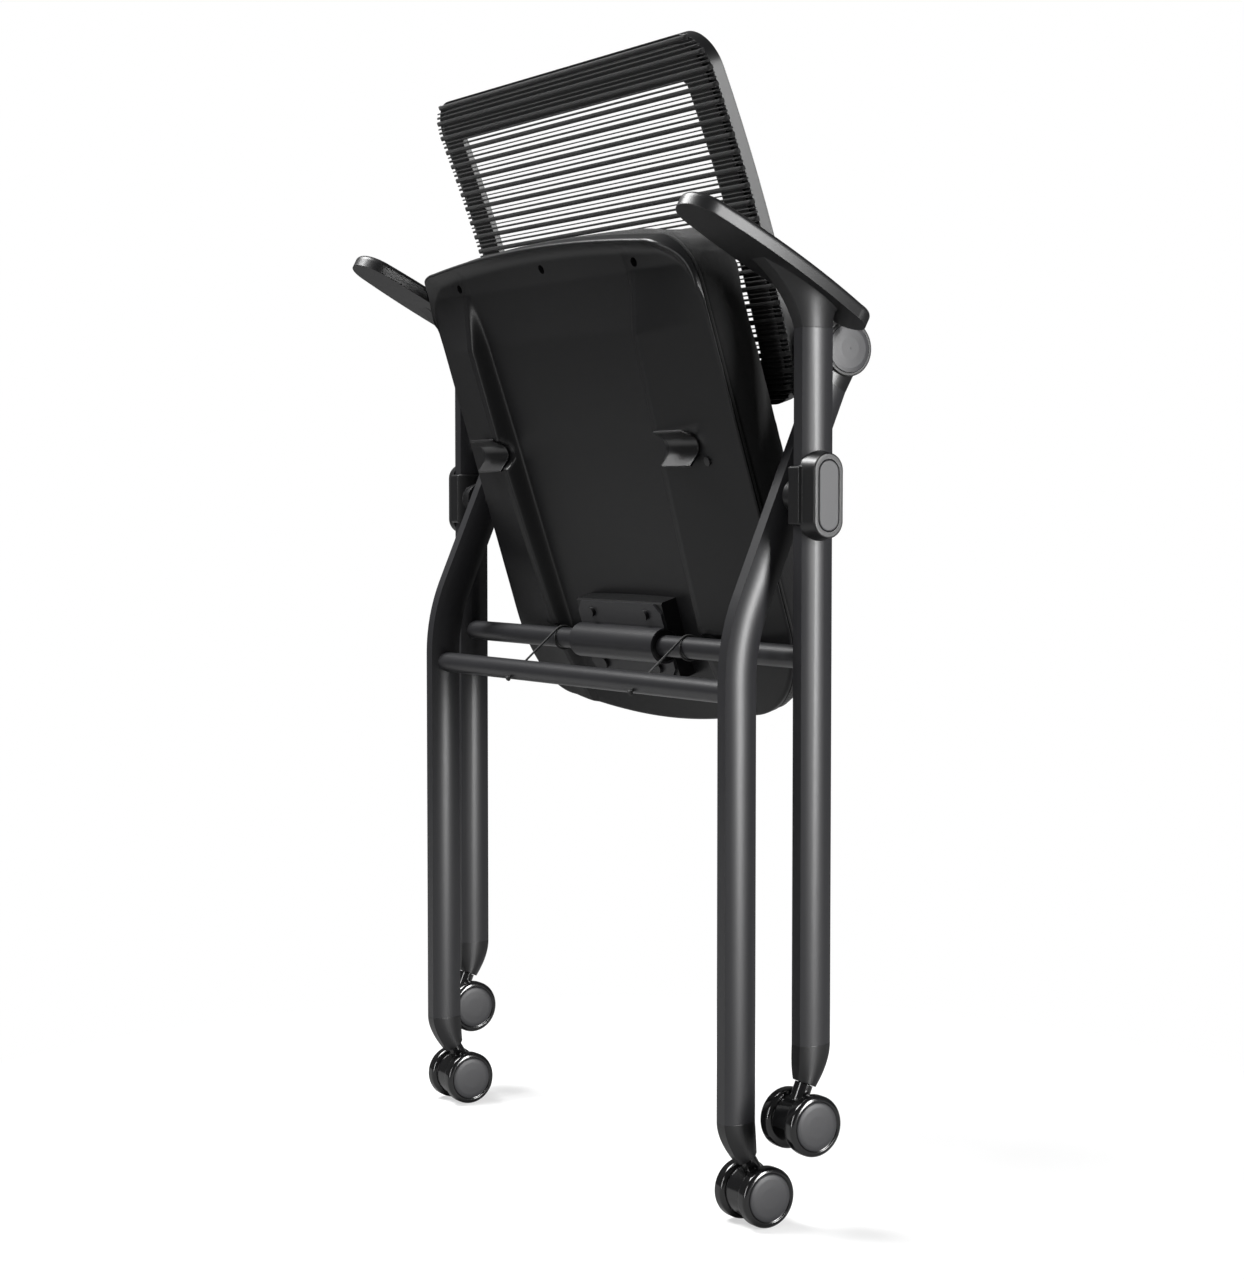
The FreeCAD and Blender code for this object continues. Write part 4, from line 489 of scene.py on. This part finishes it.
# The front cross tube and the groove that it lands in when the seat is down
CROSS_RADIUS, SADDLE_REACH, SADDLE_RISE, SADDLE_WALL, SADDLE_MOUTH = 9.5, 178.2, 3.0, 2.6, 29.0
GROOVE_ROUND, MOUTH_SLOPE, NOTCH_ROOM = 0.9, 2.0, 2.0
# Board screws at x and u, and the wells over their heads
BOARD_SCREWS = ((-154.0, 335.0), (0.0, 341.0), (154.0, 335.0), (-191.0, 163.0), (191.0, 163.0))
WELL_RADIUS, WELL_SIDES, WELL_ABOVE, FRONT_WELL, SIDE_WELL = 4.2, 24, -12.0, 38.2, 38.0


def seat_edges(x):
    """The rear and front ends of the seat's plan at x: an arch between two corner arcs each."""
    def end(x, straight, corner, arch):
        flat = SEAT_HALF - corner
        radius = (flat ** 2 + arch ** 2) / (2 * arch)
        crown = np.sqrt(radius ** 2 - np.minimum(np.abs(x), flat) ** 2) - radius + arch
        past = np.clip(np.abs(x) - flat, 0, corner)
        return straight + crown - (corner - np.sqrt(corner ** 2 - past ** 2))
    front = end(x, SEAT_FRONT - SEAT_ARCH, FRONT_CORNER, SEAT_ARCH)
    rear = end(x, SEAT_REAR - SEAT_ARCH * 1.5, REAR_CORNER, SEAT_ARCH * 1.5)
    return -rear, front


def smooth_step(value, low, high):
    """Zero below low, one above high and 3 t^2 - 2 t^3 between."""
    t = np.clip((value - low) / (high - low), 0, 1)
    return t * t * (3 - 2 * t)


def pan_height(x, u):
    """How far back the pan's underside lies at x and u.

    Across the seat it runs from the middle to the ridge's foot on a parabola, over the ridge on a
    smooth step, and from its crest to the rim on a straight slope. Up the seat those values follow the
    stations. At the front it sweeps out to the lip on a power curve, and grooves take the tubes.
    """
    rim, crest, place, foot, middle = (np.interp(u, PAN_STATIONS[:, 0], PAN_STATIONS[:, k])
                                       for k in range(1, 6))
    away = np.abs(x)
    inner, outer = place - RIDGE_FOOT, place + RIDGE_HALF
    panel = middle + (foot - middle) * np.clip(away / inner, 0, 1) ** 2
    slope = crest + (rim - crest) * np.clip((away - outer) / (SEAT_HALF - outer), 0, 1)
    over = smooth_step(away, inner, place - RIDGE_HALF + 1)
    w = panel + (slope - panel) * over
    front = seat_edges(x)[1] - u
    lip = LIP_EDGE + (LIP_SIDE - LIP_EDGE) * smooth_step(away, LIP_FROM, SEAT_HALF)
    w = w + (lip - w) * (1 - np.clip(front / LIP_RUN, 0, 1)) ** 2
    v = np.abs(u - SADDLE_REACH)
    r = CROSS_RADIUS + SADDLE_WALL
    turned_in = r * GROOVE_ROUND
    mouth = SADDLE_RISE + r * 0.436 - (v - turned_in) * MOUTH_SLOPE
    groove = np.where(v < turned_in, SADDLE_RISE + np.sqrt(np.maximum(r * r - v * v, 0)), mouth)
    w = np.where(v < SADDLE_MOUTH / 2 + 1, np.maximum(w, groove), w)
    clear = CROSS_RADIUS + NOTCH_ROOM
    notch = np.sqrt(np.maximum(clear ** 2 - u * u, 0))
    return np.where(np.abs(u) < clear, np.maximum(w, notch), w)


RIDGE_USUAL, RIDGE_BEFORE, RIDGE_AFTER, PAN_ROWS = 142.0, 22.0, 16.0, 190


def pan_grid():
    """x and u of the pan's underside.

    The columns are close together over the ridge and at the sides, and lean with the ridge up the
    seat. The rows lie on a cosine ramp between the rear and the front edge.
    """
    past = RIDGE_USUAL + RIDGE_AFTER
    outside = past + (SEAT_HALF - past) * np.sin(np.linspace(0, np.pi / 2, 30))
    over = np.linspace(RIDGE_USUAL - RIDGE_BEFORE, past, 36)
    half = np.concatenate([np.linspace(0, RIDGE_USUAL - RIDGE_BEFORE, 34), over[1:], outside[1:]])
    ramp = (1 - np.cos(np.linspace(0, 1, PAN_ROWS) * np.pi)) / 2
    x, ramp = np.meshgrid(np.concatenate([-half[:0:-1], half]), ramp, indexing="ij")
    rear, front = seat_edges(x)
    ridge = np.interp(rear + (front - rear) * ramp, PAN_STATIONS[:, 0], PAN_STATIONS[:, 3])
    away = np.where(np.abs(x) < RIDGE_USUAL, np.abs(x) * ridge / RIDGE_USUAL,
                    ridge + (np.abs(x) - RIDGE_USUAL) * (SEAT_HALF - ridge) / (SEAT_HALF - RIDGE_USUAL))
    x = np.sign(x) * away
    rear, front = seat_edges(x)
    return x, rear + (front - rear) * ramp


def drawn_in(points, inset):
    """Points (x, w, u) scaled toward the plan's centre so that the outline comes in by inset."""
    centre = (SEAT_FRONT - SEAT_REAR) / 2
    points = points.copy()
    points[:, 0] *= 1 - inset / SEAT_HALF
    points[:, 2] = centre + (points[:, 2] - centre) * (1 - inset / ((SEAT_FRONT + SEAT_REAR) / 2))
    return points


def pan_shell(name):
    """The pan as one closed surface.

    The border of the underside's grid is carried over a bead, up the rim and in over the step. The
    same grid, drawn in, closes it at the board's height.
    """
    x, u = pan_grid()
    across, along = x.shape
    low = drawn_in(np.stack([x, pan_height(x, u), u], -1).reshape(-1, 3), BEAD)
    border = np.concatenate([np.arange(across) * along, (across - 1) * along + np.arange(1, along),
                             np.arange(across - 2, -1, -1) * along + along - 1,
                             np.arange(along - 2, 0, -1)])
    rings = []
    for t in np.linspace(0, np.pi / 2, 6)[1:]:
        ring = drawn_in(low[border], -BEAD * math.sin(t))
        rise = BEAD * (1 - math.cos(t))
        ring[:, 1] = np.minimum(ring[:, 1] + rise, RIM_TOP - 0.5 + rise / 9)
        rings.append(ring)
    for inset in (-BEAD, PAN_STEP):
        ring = drawn_in(low[border], inset)
        ring[:, 1] = RIM_TOP
        rings.append(ring)
    top = drawn_in(low, PAN_STEP)
    top[:, 1] = PAN_TOP
    points = np.concatenate([low, *rings, top])
    count, size = len(border), len(low)
    starts = [border] + [size + k * count + np.arange(count) for k in range(len(rings))]
    starts.append(size + len(rings) * count + border)
    sides = [np.stack([p, np.roll(p, -1), np.roll(q, -1), q], -1) for p, q in zip(starts, starts[1:])]
    grid = grid_faces(across, along)
    faces = np.concatenate([grid, *sides, grid + size + len(rings) * count])
    return surface(name, on_seat(*points.T), faces, pan_plastic)


def prism_faces(count):
    """The faces of a prism whose two ends have count points each."""
    walls = [[k, (k + 1) % count, count + (k + 1) % count, count + k] for k in range(count)]
    return walls + [list(range(count - 1, -1, -1)), list(range(count, 2 * count))]


def screw_wells(piece):
    """Bores a round well down to the head of every board screw."""
    turn = np.linspace(0, 2 * np.pi, WELL_SIDES, endpoint=False)
    tools = []
    for x, u in BOARD_SCREWS:
        depth = SIDE_WELL if abs(x) > RIDGE_USUAL + RIDGE_AFTER else FRONT_WELL
        round_x, round_u = x + WELL_RADIUS * np.cos(turn), u + WELL_RADIUS * np.sin(turn)
        ends = [on_seat(round_x, np.full(WELL_SIDES, level), round_u) for level in (WELL_ABOVE, depth)]
        tools.append(surface(f"well_tool_{x:.0f}", np.concatenate(ends), prism_faces(WELL_SIDES),
                             pan_plastic, False))
    for tool in tools:
        cut = piece.modifiers.new(tool.name, "BOOLEAN")
        cut.object, cut.operation, cut.solver = tool, "DIFFERENCE", "MANIFOLD"
    bpy.context.view_layer.update()
    done = bpy.data.meshes.new_from_object(piece.evaluated_get(bpy.context.evaluated_depsgraph_get()))
    piece.modifiers.clear()
    piece.data = done
    done.set_sharp_from_angle(angle=math.radians(40))
    for tool in tools:
        bpy.data.objects.remove(tool)


def hinge_seat(name):
    """The block the hinge clamp is screwed to: a bar across the seat with a trough for the tube."""
    reach = math.sqrt(BLOCK_TROUGH ** 2 - BLOCK_FACE ** 2)
    edge = math.asin(BLOCK_FACE / BLOCK_TROUGH)
    below, corner = BLOCK_FACE + BLOCK_ROUND, BLOCK_FRONT - BLOCK_ROUND
    outline = [(BLOCK_REAR, BLOCK_ROOT), (BLOCK_REAR, below), (BLOCK_REAR + BLOCK_ROUND, BLOCK_FACE),
               (-reach, BLOCK_FACE)]
    outline += [(BLOCK_TROUGH * math.cos(t), BLOCK_TROUGH * math.sin(t))
                for t in np.linspace(math.pi - edge, edge, 20)[1:-1]]
    outline += [(reach, BLOCK_FACE), (corner, BLOCK_FACE), (BLOCK_FRONT, below), (BLOCK_FRONT, BLOCK_ROOT)]
    u, w = np.array(outline).T
    points = np.concatenate([on_seat(np.full(len(u), side), w, u) for side in (-BLOCK_HALF, BLOCK_HALF)])
    return surface(name, points, prism_faces(len(u)), pan_plastic, False)


pan = pan_shell("seat_pan_moulding")
screw_wells(pan)
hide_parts("seat_pan")
for piece in (pan, hinge_seat("hinge_block_moulding")):
    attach(piece, "seat")

# (inset, height) of the cushion's section: under the skirt, up the side, over the crowned top
CUSHION_SECTION = rounded([(15.0, 50.5), (15.5, 26.4), (3.0, 26.0), (0.6, 29.0), (-0.8, 45.0), (-0.6, 60.0),
                           (4.5, 70.5), (14.0, 77.0), (33.0, 80.0)], 3.5, 3)


SEAT_ROUND, CROWN = 300, 0.9


def cushion_shell(name):
    """The foam's closed surface.

    Round the seat's plan goes one parameter, and along the section the other. Inside the section the
    rings shrink to the middle. On top they rise by CROWN (1 - share^2), and beneath they lie flat.
    """
    loops = [np.concatenate([seat_loop(inset, SEAT_ROUND), np.full((SEAT_ROUND, 1), height)], 1)
             for inset, height in CUSHION_SECTION]
    centre = np.array([0.0, (SEAT_FRONT - SEAT_REAR) / 2])

    def shrunk(loop, share, rise):
        return np.concatenate([centre + (loop[:, :2] - centre) * share, loop[:, 2:] + rise], 1)
    top = [shrunk(loops[-1], share, CROWN * (1 - share ** 2))
           for share in (0.85, 0.68, 0.5, 0.33, 0.16, 0.02)]
    floor = [shrunk(loops[0], share, 1.2) for share in (0.02, 0.35, 0.7, 0.97)]
    rings = np.array(floor + loops + top)
    points = on_seat(rings[..., 0], rings[..., 2], rings[..., 1])
    return surface(name, points, grid_faces(len(rings), SEAT_ROUND, False, True), seat_cloth)


# Foam under a sewn cover: pressure as in a firm pillow, and no more than 5 mm of swell
PRESSURE, LAST_FRAME, MOST_MOVE, HELD_DEPTH, VOXEL = 4.0, 20, 5.0, 9.0, 5.0


def puffed(piece):
    """Fills the cushion: its cover is meshed evenly, blown up as cloth, and held where it meets the pan."""
    remesh = piece.modifiers.new("Even", "REMESH")
    remesh.mode, remesh.voxel_size, remesh.use_smooth_shade = "VOXEL", VOXEL * MM, True
    graph = bpy.context.evaluated_depsgraph_get()
    mesh = bpy.data.meshes.new_from_object(piece.evaluated_get(graph))
    piece.modifiers.clear()
    piece.data = mesh
    before = np.empty(len(mesh.vertices) * 3)
    mesh.vertices.foreach_get("co", before)
    before = before.reshape(-1, 3)
    out = np.array([0.0, math.cos(SEAT_LEAN), math.sin(SEAT_LEAN)])
    depth = (before - SEAT_ORIGIN) @ out / MM
    held = piece.vertex_groups.new(name="held")
    held.add(np.flatnonzero(depth < depth.min() + HELD_DEPTH).tolist(), 1.0, "REPLACE")
    cloth = piece.modifiers.new("Cover", "CLOTH")
    cloth.settings.quality = 4
    cloth.settings.use_pressure = True
    cloth.settings.uniform_pressure_force = PRESSURE
    cloth.settings.effector_weights.gravity = 0
    cloth.settings.vertex_group_mass = "held"
    cloth.collision_settings.use_collision = False
    scene = bpy.context.scene
    cloth.point_cache.frame_end = LAST_FRAME
    for frame in range(1, LAST_FRAME + 1):
        scene.frame_set(frame)
    done = piece.evaluated_get(bpy.context.evaluated_depsgraph_get()).data
    after = np.empty(len(before) * 3)
    done.vertices.foreach_get("co", after)
    move = after.reshape(-1, 3) - before
    length = np.linalg.norm(move, axis=1, keepdims=True)
    piece.modifiers.clear()
    scene.frame_set(1)
    most = MOST_MOVE * MM
    move *= most * np.tanh(length / most) / np.maximum(length, 1e-9)
    mesh.vertices.foreach_set("co", (before + move).ravel())
    mesh.update()
    mesh.materials.clear()
    mesh.materials.append(seat_cloth)


cushion = cushion_shell("seat_cushion_cover")
puffed(cushion)
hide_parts("seat_cushion")
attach(cushion, "seat")


def seam(name, inset, height, radius):
    """A welt round the seat: a thin round tube that follows the plan at one inset and height."""
    loop = seat_loop(inset, SEAT_ROUND)
    path = on_seat(loop[:, 0], height, loop[:, 1])[None]
    along = units(np.roll(path, -1, 1) - np.roll(path, 1, 1), 2)
    up = units(on_seat(loop[:, 0], height + 1.0, loop[:, 1])[None] - path, 2)
    piece = tube(name, path, np.cross(along, up) * radius * MM, up * radius * MM, seat_cloth, 8, True)
    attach(piece, "seat")


seam("seat_lower_welt", 1.4, 27.6, 1.5)

# Return cords, in millimetres: each runs from a stop bead under the front tube through it and once round the
# rear one, where the loop drifts a little sideways so that it passes its own start
CORD_X, CORD_WIDTH, CORD_LOOP, CORD_PAST = 108.0, 2.0, 10.8, 12.5
LOOP_TURN, LOOP_DRIFT, RUN_POINTS, LOOP_POINTS = 325.0, 2.4, 24, 60
BEAD_LONG, BEAD_RADIUS, BEAD_RINGS, BEAD_SIDES = 1.9, 2.6, 12, 24
SIDEWAYS = np.array([1.0, 0.0, 0.0])
FRONT_TUBE = middle_of("front_cross_tube") / MM
REAR_TUBE = middle_of("rear_cross_tube") / MM


def return_cord(name, x):
    """A tube along a straight tangent to the loop's circle and then round that circle."""
    rise = REAR_TUBE - FRONT_TUBE
    span = np.linalg.norm(rise)
    angle = math.atan2(rise[2], rise[1]) + math.asin(CORD_LOOP / span)
    along = np.array([0.0, math.cos(angle), math.sin(angle)])
    tangent = math.sqrt(span ** 2 - CORD_LOOP ** 2)
    run = np.linspace(-CORD_PAST, tangent, RUN_POINTS)[:-1, None]
    straight = FRONT_TUBE + run * along
    turn = angle + np.pi / 2 - np.radians(np.linspace(0, LOOP_TURN, LOOP_POINTS))
    drift = np.linspace(0, LOOP_DRIFT, LOOP_POINTS)
    loop = REAR_TUBE + np.stack([drift, CORD_LOOP * np.cos(turn), CORD_LOOP * np.sin(turn)], -1)
    path = (np.concatenate([straight, loop]) + x * SIDEWAYS) * MM
    forward = units(np.gradient(path, axis=0), 1)
    sideways = np.broadcast_to(SIDEWAYS, path.shape)
    half = CORD_WIDTH / 2 * MM
    cord = tube(name, path[None], sideways[None] * half, np.cross(forward, sideways)[None] * half, rubber, 10)
    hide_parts(name.replace("elastic", "return_cord"))
    return cord, path


def bead(name, path):
    """The round stop bead on the cord's end: an ellipse turned about the cord."""
    forward = units(path[1] - path[0], 0)
    above = np.cross(forward, SIDEWAYS)
    turn = np.linspace(0, 2 * np.pi, BEAD_SIDES, endpoint=False)
    circle = np.outer(np.cos(turn), SIDEWAYS) + np.outer(np.sin(turn), above)
    arc = np.clip(np.linspace(0, np.pi, BEAD_RINGS), 0.02, np.pi - 0.02)
    rings = [path[0] + (BEAD_RADIUS * math.sin(t) * circle - BEAD_LONG * math.cos(t) * forward) * MM
             for t in arc]
    faces = grid_faces(BEAD_RINGS, BEAD_SIDES, False, True).tolist()
    last = (BEAD_RINGS - 1) * BEAD_SIDES
    faces += [list(range(BEAD_SIDES - 1, -1, -1)), list(range(last, last + BEAD_SIDES))]
    piece = surface(name, np.concatenate(rings), faces, rubber)
    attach(piece, "front_frame")


for side, x in (("right", CORD_X), ("left", -CORD_X)):
    cord, path = return_cord("elastic_" + side, x)
    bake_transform(cord)
    bead("cord_bead_" + side, path)

# Floor, light and camera
# The paper sends only part of its light back, as a sheet on a dark studio floor does
BOUNCED = 0.3
# The shadow shows within the first distance from the middle and is gone past the second
SHADOW_NEAR, SHADOW_FAR = 0.35, 0.75
FLOOR_HALF, FLOOR_BELOW = 8.0, 0.0004


def white_stage(name, glow):
    """White paper that keeps the chair's soft shadow and shows white to the camera."""
    material, tree, coords = base_material(name)
    rays = add(tree, "ShaderNodeLightPath")
    tone = add(tree, "ShaderNodeMapRange", {"To Min": BOUNCED, "To Max": 1.0},
               {"Value": rays.outputs["Is Camera Ray"]})
    paper = add(tree, "ShaderNodeBsdfDiffuse", {}, {"Color": tone.outputs["Result"]})
    shine = add(tree, "ShaderNodeEmission", {"Color": linear("#ffffff"), "Strength": 1.0})
    seen = rays.outputs["Is Camera Ray"]
    far = add(tree, "ShaderNodeVectorMath", {"operation": "LENGTH"}, {0: coords})
    fade = add(tree, "ShaderNodeMapRange",
               {"From Min": SHADOW_NEAR, "From Max": SHADOW_FAR, "To Min": glow, "To Max": 1.0},
               {"Value": far.outputs["Value"]})
    share = add(tree, "ShaderNodeMath", {"operation": "MULTIPLY"}, {0: seen, 1: fade.outputs["Result"]})
    both = add(tree, "ShaderNodeMixShader", {}, {0: share.outputs[0], 1: paper.outputs[0],
                                                 2: shine.outputs[0]})
    add(tree, "ShaderNodeOutputMaterial", links={"Surface": both.outputs[0]})
    return material


floor_corners = np.array([(x * FLOOR_HALF, y * FLOOR_HALF, -FLOOR_BELOW)
                          for x, y in ((-1, -1), (1, -1), (1, 1), (-1, 1))])
floor = surface("floor", floor_corners, [[0, 1, 2, 3]], white_stage("white_paper", 0.55), turn_outward=False)

# The room is dim beside the soft boxes, and smooth black surfaces mirror part of its white walls
ROOM_LIGHT, MIRRORED_WHITE = 0.1, 0.1
world = bpy.data.worlds.new("studio")
bpy.context.scene.world = world
world.use_nodes = True
world_tree = world.node_tree
world_tree.nodes.clear()
rays = add(world_tree, "ShaderNodeLightPath")
mirrored = add(world_tree, "ShaderNodeMath", {"operation": "MULTIPLY", 1: MIRRORED_WHITE},
               {0: rays.outputs["Is Glossy Ray"]})
through = add(world_tree, "ShaderNodeMath", {"operation": "MAXIMUM"},
              {0: rays.outputs["Is Camera Ray"], 1: rays.outputs["Is Transmission Ray"]})
direct = add(world_tree, "ShaderNodeMath", {"operation": "MAXIMUM"},
             {0: through.outputs[0], 1: mirrored.outputs[0]})
level = add(world_tree, "ShaderNodeMath", {"operation": "MAXIMUM", 1: ROOM_LIGHT},
            {0: direct.outputs[0]})
background = add(world_tree, "ShaderNodeBackground", {"Color": linear("#ffffff")},
                 {"Strength": level.outputs[0]})
add(world_tree, "ShaderNodeOutputWorld", links={"Surface": background.outputs[0]})


def lamp(name, place, aim, size, power):
    """A rectangular soft box at place that points at aim."""
    light = bpy.data.lights.new(name, "AREA")
    light.shape = "RECTANGLE"
    light.size, light.size_y = size
    light.energy = power
    item = bpy.data.objects.new(name, light)
    item.location = place
    item.rotation_euler = (Vector(aim) - Vector(place)).to_track_quat("-Z", "Y").to_euler()
    bpy.context.collection.objects.link(item)


lamp("right_box", (2.5, 0.9, 0.8), (0, 0, 0.45), (0.5, 2.0), 110)
lamp("front_box", (0.7, -2.7, 0.8), (0, 0, 0.45), (0.35, 1.8), 30)
lamp("top_box", (-0.9, -0.9, 2.4), (0, 0, 0.7), (1.2, 1.2), 120)

# The photograph's own view, solved from the tubes and casters
camera_data = bpy.data.cameras.new("camera")
camera_data.sensor_width = 36.0
camera_data.lens = 71.6
camera = bpy.data.objects.new("camera", camera_data)
camera.location = (1.957, -1.1845, 0.583)
camera.rotation_euler = Euler((math.radians(90 - 2.9), 0, math.radians(58.5)))
bpy.context.collection.objects.link(camera)
bpy.context.scene.camera = camera
bpy.context.scene.view_settings.view_transform = "Standard"
